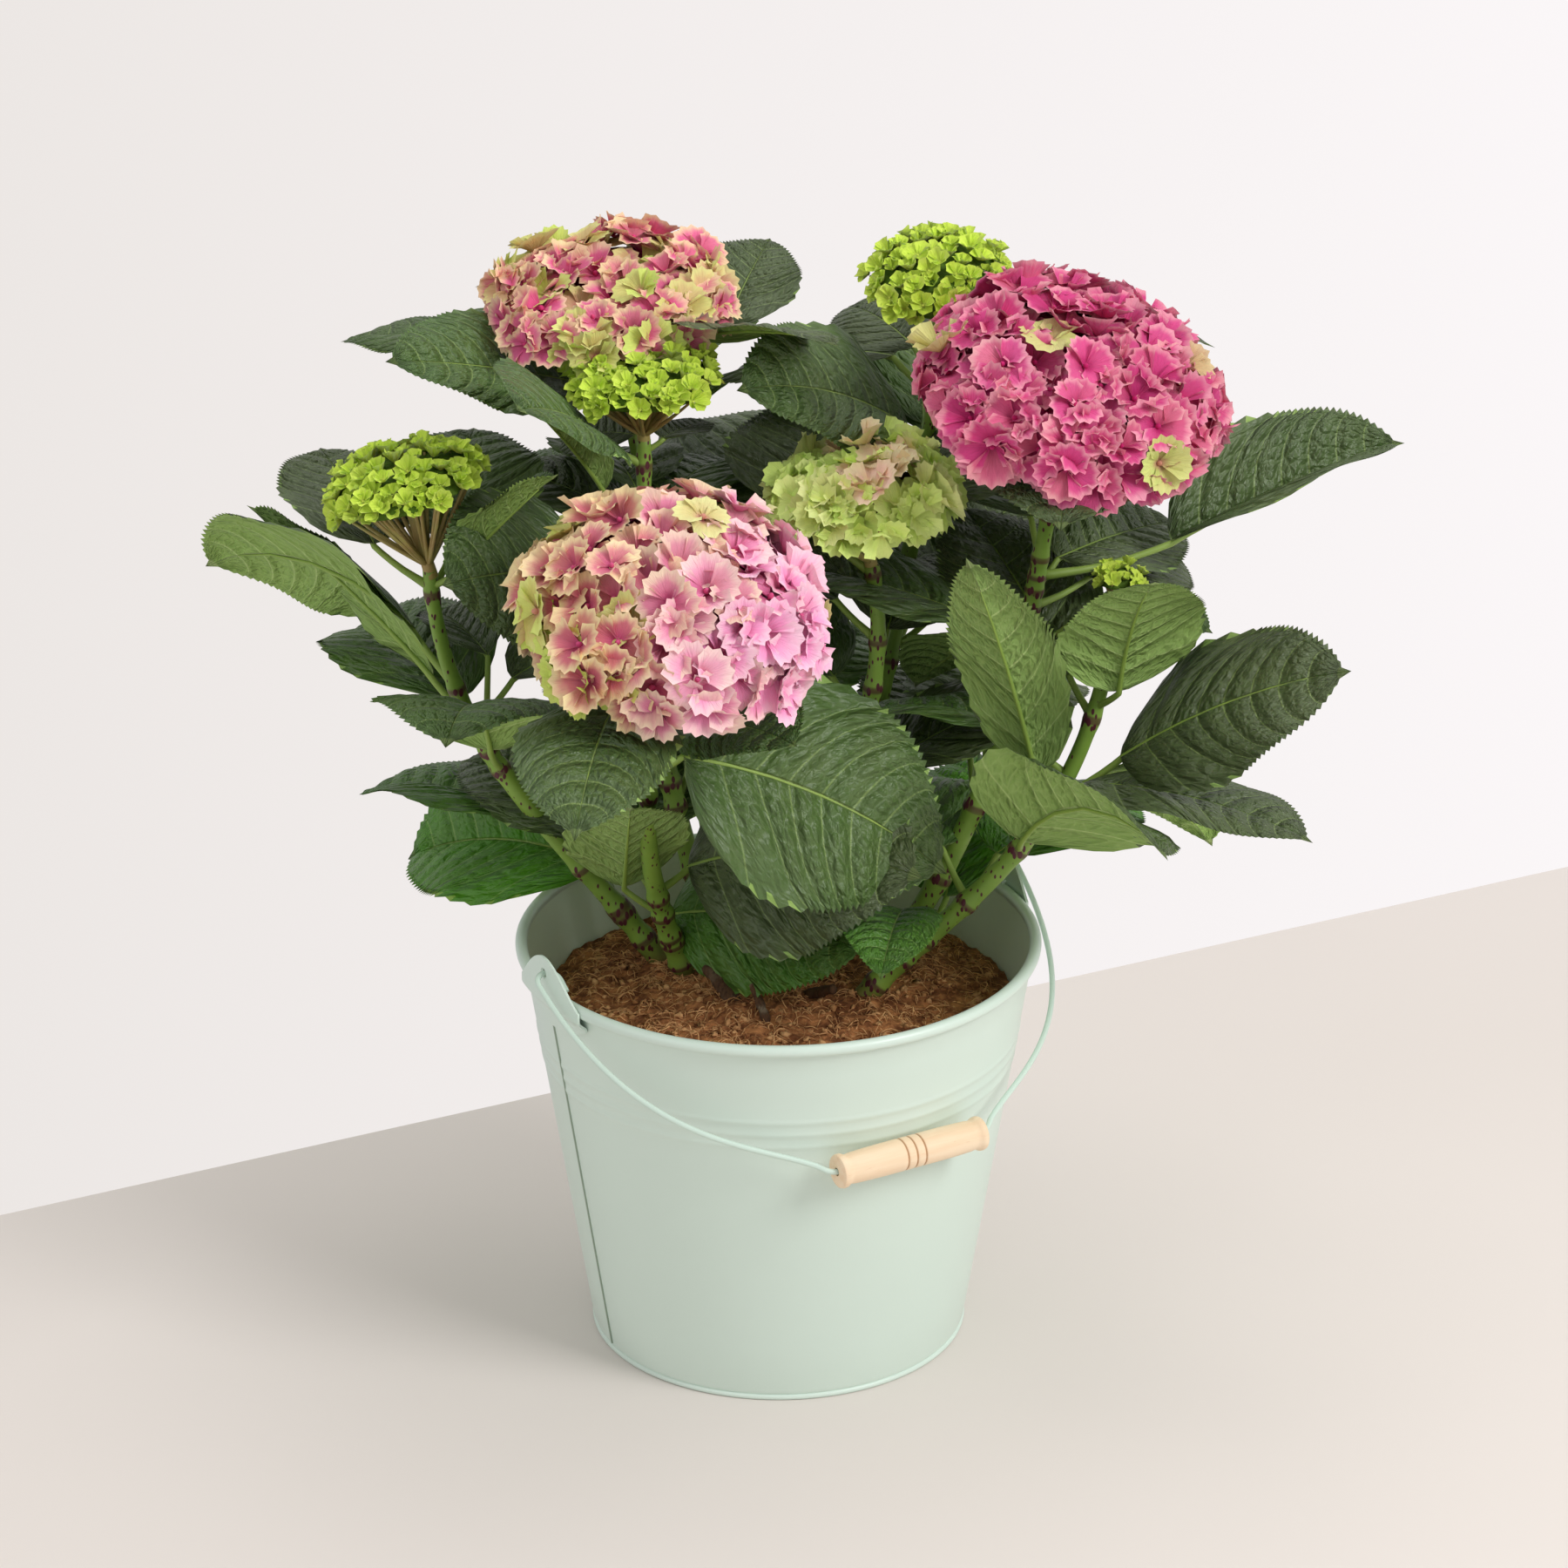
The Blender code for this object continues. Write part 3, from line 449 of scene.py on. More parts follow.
@dataclass(frozen=True)
class Sepal:
    """A floret's skin: heart, body and toothed edge, its brighter blush, and its green youth."""

    name: str
    heart: Colour
    body: Colour
    edge: Colour
    young: Colour
    bright: Colour
    bright_edge: Colour
    edge_from: float = 0.70

    def make(self) -> Material:
        """Build the material.

        Returns:
            The material.
        """
        recipe = Recipe(self.name, Specular_IOR_Level=0.22, Sheen_Weight=0.06,
                        Subsurface_Weight=0.10, Subsurface_Radius=(1.0, 0.45, 0.5),
                        Subsurface_Scale=0.002)
        out, turn, tint = (recipe.trait(name) for name in ("along", "across", "tint"))
        blush, green = recipe.trait("blush"), recipe.trait("green")
        place = recipe.place()
        ribs = recipe.joined(turn * 11.0, out * 1.6, tint * 37.0)
        streak = recipe.speckle(ribs, 1.4, 3.0, 0.6)
        cloud = recipe.speckle(place, 110.0, 2.0)
        body = recipe.mix(blush, self.body, self.bright)
        rim = recipe.mix(blush, self.edge, self.bright_edge)
        colour = recipe.mix((out + (cloud - 0.5) * 0.4).ramp(0.0, 0.60), self.heart, body)
        colour = recipe.mix((out + (cloud - 0.5) * 0.55 + abs(turn) * 0.10)
                            .ramp(self.edge_from, 1.08), colour, rim)
        colour = recipe.mix(green * (out + 0.35).ramp(0.2, 0.8), colour, self.young)
        colour = recipe.shade(colour, 0.86 + 0.20 * streak + 0.12 * tint)
        return recipe.finish(colour, 0.55 + 0.2 * streak, streak, 0.0008, 0.8)


# ---- mesh helpers
def select_only(piece: Piece) -> None:
    """Make one object the only selected, active one.

    Args:
        piece: The object.
    """
    bpy.ops.object.select_all(action="DESELECT")
    piece.select_set(True)
    bpy.context.view_layer.objects.active = piece


def in_scene(name: str, data: bpy.types.ID) -> Piece:
    """Put new data into the scene as an object.

    Args:
        name: The object's name.
        data: Its mesh, curve, light or camera.

    Returns:
        The object.
    """
    piece = bpy.data.objects.new(name, data)
    bpy.context.scene.collection.objects.link(piece)
    return piece


def face_outwards(merge: float = 0.0) -> None:
    """Turn the active mesh's faces outwards, from either mode, and leave edit mode.

    Args:
        merge: Vertices closer than this are joined first. At 0 none are.
    """
    bpy.ops.object.mode_set(mode="EDIT")
    bpy.ops.mesh.select_all(action="SELECT")
    if merge:
        bpy.ops.mesh.remove_doubles(threshold=merge)
    bpy.ops.mesh.normals_make_consistent(inside=False)
    bpy.ops.object.mode_set(mode="OBJECT")


def apply(piece: Piece, kind: str, **settings: object) -> None:
    """Give a piece a modifier and apply it.

    Args:
        piece: The piece.
        kind: The modifier's type.
        **settings: The modifier's settings.
    """
    select_only(piece)
    tool = piece.modifiers.new(kind.lower(), kind)
    for key, value in settings.items():
        setattr(tool, key, value)
    bpy.ops.object.modifier_apply(modifier=tool.name)


def hand_over(piece: Piece, body: str, slot: str, node: str | None = None) -> None:
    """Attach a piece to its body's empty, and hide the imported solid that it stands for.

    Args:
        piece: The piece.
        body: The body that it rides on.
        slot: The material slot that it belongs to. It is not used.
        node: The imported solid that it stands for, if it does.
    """
    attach(piece, body)
    if node:
        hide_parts(node)


def settle(name: str, *finishes: Material, angle: float = 32.0) -> Piece:
    """Name, place, smooth and dress the active object.

    Args:
        name: The piece's name.
        *finishes: Its materials.
        angle: Edges sharper than this stay crisp, in degrees.

    Returns:
        The piece, with its place in its mesh.
    """
    piece = bpy.context.active_object
    select_only(piece)
    bpy.ops.object.transform_apply(location=True, rotation=True, scale=True)
    bpy.ops.object.shade_smooth_by_angle(angle=math.radians(angle))
    piece.name = name
    piece.data.name = name
    piece.data.materials.clear()
    for finish in finishes:
        piece.data.materials.append(finish)
    return piece


def lathe(profile: Sequence[tuple[float, float]], sides: int) -> Piece:
    """Model a turned form from a circle, ring by ring, and close both ends.

    Args:
        profile: Radius and height of each ring, from the lower outside to the last ring.
        sides: How many sides a ring has.

    Returns:
        The active object, with its axis on Z.
    """
    bpy.ops.object.select_all(action="DESELECT")
    radius, height = profile[0]
    bpy.ops.mesh.primitive_circle_add(vertices=sides, radius=radius, location=(0, 0, height),
                                      fill_type="NGON")
    piece = bpy.context.active_object
    bpy.ops.object.transform_apply(location=True, rotation=True, scale=True)
    bpy.ops.object.mode_set(mode="EDIT")
    bpy.ops.mesh.select_all(action="SELECT")
    for wide, high in profile[1:]:
        bpy.ops.mesh.extrude_region_move(TRANSFORM_OT_translate={"value": (0, 0, high - height)})
        bpy.ops.transform.resize(value=(wide / radius, wide / radius, 1),
                                 center_override=(0, 0, high))
        radius, height = wide, high
    face_outwards()
    return piece


def bore(piece: Piece, radius: float, length: float, sides: int,
         place: Matrix | None = None) -> None:
    """Cut a round hole through a piece.

    Args:
        piece: The piece.
        radius: The hole's radius.
        length: How long the cutter is.
        sides: How many sides the cutter has.
        place: Turns and moves the cutter from the Z axis. Without one it stays there.
    """
    bpy.ops.object.select_all(action="DESELECT")
    bpy.ops.mesh.primitive_cylinder_add(vertices=sides, radius=radius, depth=length)
    cutter = bpy.context.active_object
    if place:
        cutter.data.transform(place)
    apply(piece, "BOOLEAN", operation="DIFFERENCE", solver="EXACT", object=cutter)
    bpy.data.objects.remove(cutter)


def round_wire(name: str, points: Sequence[Vector], radius: float, finish: Material) -> Piece:
    """Model a smooth round wire, as a closed mesh.

    Args:
        name: The wire's name.
        points: Its centre line.
        radius: Its radius.
        finish: Its material.

    Returns:
        The wire.
    """
    bpy.ops.object.select_all(action="DESELECT")
    curve = bpy.data.curves.new(name, "CURVE")
    curve.dimensions = "3D"
    curve.bevel_depth = radius
    curve.bevel_resolution = 4
    curve.use_fill_caps = True
    curve.twist_mode = "MINIMUM"
    spline = curve.splines.new("POLY")
    spline.points.add(len(points) - 1)
    for spot, point in zip(spline.points, points):
        spot.co = (*point, 1.0)
    select_only(in_scene(name, curve))
    bpy.ops.object.convert(target="MESH")
    face_outwards(merge=1e-6)
    return settle(name, finish, angle=60)


class Sheaf:
    """Gathers many small shapes into one mesh, with its traits and its own bake map."""

    def __init__(self) -> None:
        """Start empty."""
        self.points: list[Array] = []
        self.faces: dict[int, list[Array]] = {3: [], 4: []}
        self.slots: dict[int, list[Array]] = {3: [], 4: []}
        self.spots: dict[int, list[Array]] = {3: [], 4: []}
        self.traits: dict[str, list[Array]] = {}
        self.creases: list[Array] = []
        self.size = 0

    def add(self, shape: Shape, slot: int = 0, **traits: Array | float) -> None:
        """Add one shape.

        Args:
            shape: Its vertices and faces.
            slot: The number of its first material. Its underside takes the next one.
            **traits: Numbers for each vertex, or one for all.
        """
        patch = len(self.points)
        self.points.append(shape.points)
        for layer, (quads, tris, spots) in enumerate(shape.layers):
            for faces in (quads.reshape(-1, 4), tris.reshape(-1, 3)):
                sides = faces.shape[1]
                self.faces[sides].append(faces + self.size)
                self.slots[sides].append(np.full(len(faces), slot + layer * shape.two_faced))
                place = np.full((len(faces), sides, 1), float(patch))
                self.spots[sides].append(np.dstack([spots[faces], place]))
        if len(shape.creases):
            self.creases.append(shape.creases + self.size)
        for key, value in {**shape.traits, **traits}.items():
            full = np.broadcast_to(np.asarray(value, float), (len(shape.points),))
            self.traits.setdefault(key, []).append(full)
        self.size += len(shape.points)

    def build(self, name: str, *finishes: Material) -> Piece:
        """Make the mesh.

        Args:
            name: The piece's name.
            *finishes: Its materials.

        Returns:
            The piece.
        """
        points = np.concatenate(self.points)
        quads, tris = np.concatenate(self.faces[4]), np.concatenate(self.faces[3])
        loops = np.concatenate([quads.ravel(), tris.ravel()])
        sizes = np.concatenate([np.full(len(quads), 4), np.full(len(tris), 3)])
        starts = np.concatenate([[0], np.cumsum(sizes)[:-1]])
        mesh = bpy.data.meshes.new(name)
        mesh.vertices.add(len(points))
        mesh.vertices.foreach_set("co", points.astype(np.float32).ravel())
        mesh.loops.add(len(loops))
        mesh.loops.foreach_set("vertex_index", loops.astype(np.int32))
        mesh.polygons.add(len(sizes))
        mesh.polygons.foreach_set("loop_start", starts.astype(np.int32))
        slots = np.concatenate(self.slots[4] + self.slots[3])
        mesh.polygons.foreach_set("material_index", slots.astype(np.int32))
        mesh.update(calc_edges=True)
        for finish in finishes:
            mesh.materials.append(finish)
        for key, values in self.traits.items():
            layer = mesh.attributes.new(key, "FLOAT", "POINT")
            layer.data.foreach_set("value", np.concatenate(values).astype(np.float32))
        across = math.ceil(math.sqrt(len(self.points)))
        spots = np.concatenate([np.concatenate(self.spots[4]).reshape(-1, 3),
                                np.concatenate(self.spots[3]).reshape(-1, 3)])
        corner = np.stack([spots[:, 2] % across, spots[:, 2] // across], 1)
        uv = (corner + 0.03 + 0.94 * spots[:, :2]) / across
        layer = mesh.uv_layers.new(name="OFBake")
        layer.uv.foreach_set("vector", uv.astype(np.float32).ravel())
        mesh.shade_smooth()
        if self.creases:
            self.crease(mesh, np.concatenate(self.creases))
        piece = in_scene(name, mesh)
        select_only(piece)
        return piece

    @staticmethod
    def crease(mesh: bpy.types.Mesh, pairs: Array) -> None:
        """Keep some edges crisp.

        Args:
            mesh: The mesh.
            pairs: The two vertices of each of the edges.
        """
        edges = np.empty(len(mesh.edges) * 2, np.int32)
        mesh.edges.foreach_get("vertices", edges)
        edges = np.sort(edges.reshape(-1, 2).astype(np.int64), 1)
        pairs = np.sort(pairs.astype(np.int64), 1)
        size = len(mesh.vertices)
        crisp = np.isin(edges[:, 0] * size + edges[:, 1], pairs[:, 0] * size + pairs[:, 1])
        layer = mesh.attributes.new("sharp_edge", "BOOLEAN", "EDGE")
        layer.data.foreach_set("value", crisp)


@dataclass
class Shape:
    """Vertices and the layers of faces on them, each with its spots in the bake map."""

    points: Array
    layers: list[tuple[Array, Array, Array]]
    creases: Array = field(default_factory=lambda: np.zeros((0, 2), int))
    traits: dict[str, Array] = field(default_factory=dict)
    two_faced: int = 0


def skin(top: Array, under: Array, start: Array,
         end: Array | None = None, **traits: Array) -> Shape:
    """A thin closed sheet with a top and an underside that meet at its margin.

    Args:
        top: The grid of points on top, rows by columns by 3. Rows run ahead, columns across.
        under: The same grid underneath.
        start: The point that all of the first row closes to.
        end: The point that the last row closes to. Without one, the last row is margin too.
        **traits: Grids of numbers, rows by columns, and their values at start and end last.

    Returns:
        The sheet, facing up where rows run along X and columns along Y.
    """
    rows, columns = top.shape[:2]
    upper = np.arange(rows * columns).reshape(rows, columns)
    inner = np.zeros((rows, columns), bool)
    inner[:rows if end is not None else rows - 1, 1:-1] = True
    lower = upper.copy()
    lower[inner] = rows * columns + np.arange(inner.sum())
    poles = [start] if end is None else [start, end]
    points = np.concatenate([top.reshape(-1, 3), under[inner], np.array(poles)])
    first = len(points) - len(poles)
    v, u = np.meshgrid(np.linspace(0.04, 0.96, rows), np.linspace(0, 1, columns), indexing="ij")
    layers = []
    for layer, grid in enumerate((upper, lower)):
        a, b, c, d = grid[:-1, :-1], grid[1:, :-1], grid[1:, 1:], grid[:-1, 1:]
        quads = np.stack([a, b, c, d], -1).reshape(-1, 4)
        fan = np.stack([np.full(columns - 1, first), grid[0, :-1], grid[0, 1:]], 1)
        if end is not None:
            fan = np.concatenate([fan, np.stack([np.full(columns - 1, first + 1),
                                                 grid[-1, 1:], grid[-1, :-1]], 1)])
        if layer:
            quads, fan = quads[:, ::-1], fan[:, ::-1]
        spots = np.zeros((len(points), 2))
        place = np.stack([u * 0.48 + 0.52 * layer, v], -1)
        spots[grid.ravel()] = place.reshape(-1, 2)
        spots[first] = (0.24 + 0.52 * layer, 0.0)
        spots[-1] = (0.24 + 0.52 * layer, 1.0) if end is not None else spots[first]
        layers.append((quads, fan, spots))
    rims = [np.stack([upper[:-1, k], upper[1:, k]], 1) for k in (0, -1)]
    rims += [np.array([(first, upper[0, k]) for k in (0, -1)])]
    if end is None:
        rims.append(np.stack([upper[-1, :-1], upper[-1, 1:]], 1))
    full = {}
    for key, grid in traits.items():
        body, tail = grid
        full[key] = np.concatenate([body.ravel(), body[inner], tail[:len(poles)]])
    return Shape(points, layers, np.concatenate(rims), full)


def direction(heading: float, rise: float | Array) -> Array:
    """Unit vector for a heading and a rise.

    Args:
        heading: The turn round Z, in degrees.
        rise: One rise or many, in degrees.

    Returns:
        The vector, or one for each rise.
    """
    turn, tilt = math.radians(heading), np.radians(rise)
    return np.stack([np.cos(tilt) * math.cos(turn), np.cos(tilt) * math.sin(turn),
                     np.sin(tilt)], -1)


def aimed(place: Vector, ahead: Vector) -> Matrix:
    """Moves the origin to a place and turns Z to a direction."""
    return Matrix.Translation(place) @ ahead.to_track_quat("Z", "Y").to_matrix().to_4x4()


def unit(vector: Array) -> Array:
    """The vector at length one."""
    return vector / np.linalg.norm(vector)


def bezier(path: Sequence[Sequence[float]], t: float | Array) -> Array:
    """A place on a cubic Bezier.

    Args:
        path: Its four corners.
        t: How far along it to look, from 0 to 1, once or many times.

    Returns:
        The point, or a row for each point.
    """
    a, b, c, d = (np.array(p, float) for p in path)
    t = np.asarray(t, float)[..., None]
    s = 1 - t
    return a * s ** 3 + b * (3 * s * s * t) + c * (3 * s * t * t) + d * t ** 3


def closed_faces(rings: int, sides: int, first: int, low: int, high: int) -> tuple[Array, Array]:
    """The faces of a form made of rings of vertices, closed to a pole at each end.

    Args:
        rings: How many rings there are.
        sides: How many vertices a ring has.
        first: The number of the first ring's first vertex. The others follow it.
        low: The number of the pole that the first ring closes to.
        high: The number of the pole that the last ring closes to.

    Returns:
        The quads between the rings and the triangles at the poles.
    """
    r, k = np.meshgrid(np.arange(rings - 1), np.arange(sides), indexing="ij")
    n = (k + 1) % sides
    quads = np.stack([r * sides + k, r * sides + n, (r + 1) * sides + n, (r + 1) * sides + k], -1)
    k = np.arange(sides)
    n = (k + 1) % sides
    last = first + (rings - 1) * sides
    fans = [np.stack([np.full(sides, low), first + n, first + k], 1),
            np.stack([np.full(sides, high), last + k, last + n], 1)]
    return quads.reshape(-1, 4) + first, np.concatenate(fans)


def tube(path: Array, radii: Array, sides: int) -> Shape:
    """A round limb with rounded-off poles.

    Args:
        path: Its centre line, n by 3.
        radii: Its radius at each point.
        sides: How many sides it has.

    Returns:
        The limb.
    """
    ahead = np.gradient(path, axis=0)
    ahead /= np.linalg.norm(ahead, axis=1)[:, None]
    side = np.cross(ahead[0], [0.3, 0.5, 0.8])
    rings = []
    angles = np.arange(sides) * math.tau / sides
    for centre, forward, radius in zip(path, ahead, radii):
        side = unit(side - forward * side.dot(forward))
        other = np.cross(forward, side)
        rings.append(centre + (np.cos(angles)[:, None] * side + np.sin(angles)[:, None] * other)
                     * radius)
    points = np.concatenate([np.concatenate(rings), [path[0] - ahead[0] * radii[0] * 0.2],
                             [path[-1] + ahead[-1] * radii[-1] * 0.4]])
    quads, tris = closed_faces(len(path), sides, 0, len(points) - 2, len(points) - 1)
    v = np.repeat(np.linspace(0.05, 0.95, len(path)), sides)
    u = np.tile(np.abs(np.arange(sides) / sides * 2 - 1), len(path))
    spots = np.concatenate([np.stack([u, v], 1), [[0.5, 0.0]], [[0.5, 1.0]]])
    return Shape(points, [(quads, tris, spots)])


# ---- pail
@dataclass
class Pail:
    """The tapered sheet pail: rolled rim and foot, pressed rings, and a lock seam each side."""

    rim_radius: float = 0.130
    foot_radius: float = 0.0945
    height: float = 0.211
    sheet: float = 0.0012
    rim_bead: float = 0.003
    foot_bead: float = 0.0015
    rings: tuple[float, ...] = (0.152, 0.159, 0.166)
    ring_swell: float = 0.00045
    ring_half: float = 0.0028
    seams: tuple[float, ...] = (208.0, 28.0)
    seam_span: tuple[float, float] = (0.0045, 0.194)
    seam_wide: float = 0.0011
    seam_thick: float = 0.0012
    sides: int = 180

    def wall(self, height: float) -> float:
        """Find how wide the plain wall is.

        Args:
            height: How high to look.

        Returns:
            Its outside radius there.
        """
        low = self.foot_radius - 0.001
        high = self.rim_radius - self.rim_bead - 0.0004
        return low + (high - low) * height / (self.height - self.rim_bead)

    def profile(self) -> list[tuple[float, float]]:
        """Draw the pail's section.

        Returns:
            The radius and height of each ring, from the underside out, up, over the rim and down.
        """
        foot = self.foot_radius - self.foot_bead
        rings = [(foot - 0.004, 0.0), (foot, 0.0)]
        for a in map(math.radians, range(-60, 76, 27)):
            rings.append((foot + self.foot_bead * math.cos(a),
                          self.foot_bead * (1 + math.sin(a))))
        rings += [(self.wall(0.0034) - 0.0003, 0.0034), (self.wall(0.005), 0.005)]
        rings += [(self.wall(z), z) for z in (0.03, 0.06, 0.09, 0.12, 0.14)]
        for height in self.rings:
            for step in (-1.0, -0.6, -0.3, 0.0, 0.3, 0.6):
                swell = math.cos(step * math.pi / 2) ** 2 * self.ring_swell
                place = height + step * self.ring_half
                rings.append((self.wall(place) + swell, place))
        rings += [(self.wall(z), z) for z in (0.1688, 0.180, 0.192, 0.2035)]
        across, up = self.rim_radius - self.rim_bead, self.height - self.rim_bead
        rings.append((across - 0.0002, up - self.rim_bead))
        for a in map(math.radians, range(-70, 200, 18)):
            rings.append((across + self.rim_bead * math.cos(a), up + self.rim_bead * math.sin(a)))
        rings += [(self.wall(z) - self.sheet, z) for z in (0.2055, 0.199, 0.17, 0.13, 0.06)]
        rings += [(self.wall(0.003) - self.sheet, self.sheet + 0.0008),
                  (self.wall(0.002) - self.sheet - 0.001, self.sheet), (0.05, self.sheet)]
        return rings

    def build(self, outside: Material, inside: Material) -> None:
        """Model the pail and its seams.

        Args:
            outside: The paint outside.
            inside: The duller paint of the inner wall, made lighter than the outside as painted
                light.
        """
        lathe(self.profile(), self.sides)
        # The seams take a darker grey-green than the pail: a painted shadow line along each lock
        # seam.
        groove = Paint("mint_seam_painted_shadow", srgb(142, 160, 142), 0.3).make()
        pail = settle("pail_shell", outside, inside, angle=30)
        for face in pail.data.polygons:
            flat = math.hypot(face.center.x, face.center.y)
            inner = flat < self.wall(face.center.z) - self.sheet * 0.6
            face.material_index = int(inner and self.sheet * 0.5 < face.center.z < 0.2052)
        hand_over(pail, "pot", "pail", "pail")
        for number, heading in enumerate(self.seams, 1):
            self.seam(number, heading, groove)

    def seam(self, number: int, heading: float, finish: Material) -> None:
        """Model one flattened lock seam that runs up the wall.

        Args:
            number: Its number, for its name.
            heading: Where it is round the pail, in degrees.
            finish: Its darker paint, a painted shadow line along the seam.
        """
        low, high = self.seam_span
        tilt = math.atan2(self.wall(high) - self.wall(low), high - low)
        length = (high - low) / math.cos(tilt)
        bpy.ops.object.select_all(action="DESELECT")
        bpy.ops.mesh.primitive_cube_add(size=1.0)
        strip = bpy.context.active_object
        strip.scale = (self.seam_thick, self.seam_wide, length)
        bpy.ops.object.transform_apply(location=False, rotation=False, scale=True)
        apply(strip, "BEVEL", width=0.00045, segments=3)
        middle = (low + high) / 2
        reach = self.wall(middle) + 0.0001
        strip.data.transform(Matrix.Rotation(math.radians(heading), 4, "Z")
                             @ Matrix.Translation((reach, 0, middle))
                             @ Matrix.Rotation(tilt, 4, "Y"))
        hand_over(settle("pail_seam_%d" % number, finish), "pot", "pail")


@dataclass
class Ears:
    """The two sheet ears that hold the bail at the rim."""

    pail: Pail
    half_span: float = 12.5
    foot: float = 0.190
    shoulder: float = 0.209
    top: float = 0.229
    hole: float = 0.0026

    def build(self, finish: Material) -> None:
        """Model both ears."""
        self.one("ear_left", EAR_HEADING + 180, finish)
        self.one("ear_right", EAR_HEADING, finish)

    def one(self, node: str, heading: float, finish: Material) -> None:
        """Model one ear from a flat grid, bent round the rim, thickened and drilled.

        Args:
            node: The solid that it stands for.
            heading: Where it is round the pail, in degrees.
            finish: Its paint.
        """
        bpy.ops.object.select_all(action="DESELECT")
        bpy.ops.mesh.primitive_grid_add(x_subdivisions=56, y_subdivisions=28, size=2.0)
        ear = bpy.context.active_object
        stand_off = self.pail.rim_radius + 0.0004
        for vertex in ear.data.vertices:
            u, v = vertex.co.x, (vertex.co.y + 1) / 2
            low = self.foot + 0.008 * u * u
            high = self.shoulder + (self.top - self.shoulder) * math.cos(u * math.pi / 2) ** 1.2 \
                if abs(u) < 0.9999 else self.shoulder
            height = low + (high - low) * v
            near = self.pail.wall(height) + 0.0005
            share = min(1.0, max(0.0, (height - 0.199) / 0.006))
            share = share * share * (3 - 2 * share)
            radius = near + (stand_off - near) * share if height < 0.205 else stand_off
            turn = math.radians(heading + u * self.half_span)
            vertex.co = (radius * math.cos(turn), radius * math.sin(turn), height)
        select_only(ear)
        face_outwards()
        out = Vector(direction(heading, 0))
        middle = ear.data.polygons[len(ear.data.polygons) // 2]
        if middle.normal.dot(out) < 0:
            ear.data.flip_normals()
        apply(ear, "SOLIDIFY", thickness=self.pail.sheet, offset=1.0)
        centre = out * self.pail.rim_radius + Vector((0, 0, AXIS_HEIGHT))
        bore(ear, self.hole, 0.02, 40, aimed(centre, out))
        hand_over(settle(node + "_plate", finish, angle=40), "pot", "pail", node)


# ---- bail
@dataclass
class Bail:
    """The wire bail with its hooked ends, and the turned grip threaded on it."""

    dip: float = 31.35
    depth: float = 0.1460
    wire: float = 0.0014
    ear: float = 0.131
    hook: float = 0.006
    hook_leg: float = 0.013
    shoulder: tuple[float, float] = (0.047, 0.1420)
    bow: tuple[tuple[float, float], ...] = ((0.131, 0.108), (0.072, 0.120))
    grip_length: float = 0.082
    grip_radius: float = 0.0080
    grip_end: float = 0.0085
    grip_neck: float = 0.0073
    grip_bore: float = 0.0021

    def plane(self) -> Matrix:
        """Place the bail's own plane.

        Returns:
            Turns X to the ear axis and Y to the way from the axis to the grip.
        """
        axis = Vector(direction(EAR_HEADING, 0))
        reach = Vector(direction(EAR_HEADING - 90, -self.dip))
        turn = Matrix((axis, reach, axis.cross(reach))).transposed().to_4x4()
        return Matrix.Translation((0, 0, AXIS_HEIGHT)) @ turn

    def path(self) -> list[Vector]:
        """Draw the wire.

        Returns:
            Its centre line, from one hook to the other.
        """
        half = [Vector((self.ear - self.hook, self.hook_leg, 0)),
                Vector((self.ear - self.hook, self.hook_leg * 0.75, 0))]
        for a in range(180, -1, -12):
            turn = math.radians(a)
            half.append(Vector((self.ear + self.hook * math.cos(turn),
                                self.hook - self.hook * math.sin(turn), 0)))
        corners = ((self.ear + self.hook, self.hook, 0), (*self.bow[0], 0), (*self.bow[1], 0),
                   (*self.shoulder, 0))
        half += [Vector(p) for p in bezier(corners, np.linspace(0, 1, 41)[1:-1])]
        end = (self.grip_length / 2 - 0.002, self.depth, 0)
        start = half[-1]
        turn = ((start.x, start.y, 0), (0.0465, 0.1432, 0), (0.0440, self.depth, 0), end)
        half += [Vector(p) for p in bezier(turn, np.linspace(0, 1, 9)[1:])]
        return half + [Vector((-p.x, p.y, 0)) for p in reversed(half)]

    def build(self, paint: Material, beech: Material) -> None:
        """Model the wire and the grip.

        Args:
            paint: The wire's finish.
            beech: The grip's finish.
        """
        plane = self.plane()
        wire = round_wire("bail_loop", [plane @ p for p in self.path()], self.wire, paint)
        hand_over(wire, "bail", "wire", "bail_wire")
        grip = self.grip(beech)
        grip.data.transform(plane @ Matrix.Translation((0, self.depth, 0))
                            @ Matrix.Rotation(math.pi / 2, 4, "Y"))
        hand_over(grip, "handle", "beech", "grip")

    def grip(self, beech: Material) -> Piece:
        """Turn the grip on Z and bore it through.

        Args:
            beech: Its finish.

        Returns:
            The grip, with its middle at the origin.
        """
        half = self.grip_length / 2
        end = [(0.0052, half)]
        for radius, turned in (
                (self.grip_end, ((0.0013, 0.0002), (0.0004, 0.0007), (0, 0.0018),
                                 (0.0001, 0.0033), (0.0006, 0.0042))),
                (self.grip_neck, ((0, 0.0056), (0, 0.0066), (-0.0003, 0.0085))),
                (self.grip_radius, ((0.00015, 0.016), (0, 0.024), (0, 0.031)))):
            end += [(radius - cut, half - back) for cut, back in turned]
        groove = ((0, -0.0010), (0.00012, -0.0006), (0.0006, 0), (0.00012, 0.0006), (0, 0.0010))
        middle = [(self.grip_radius - cut, x + step) for x in GROOVES for cut, step in groove]
        profile = [(r, -z) for r, z in end] + middle + list(reversed(end))
        grip = lathe(profile, 56)
        bore(grip, self.grip_bore, self.grip_length * 1.2, 32)
        return settle("turned_grip", beech, angle=35)


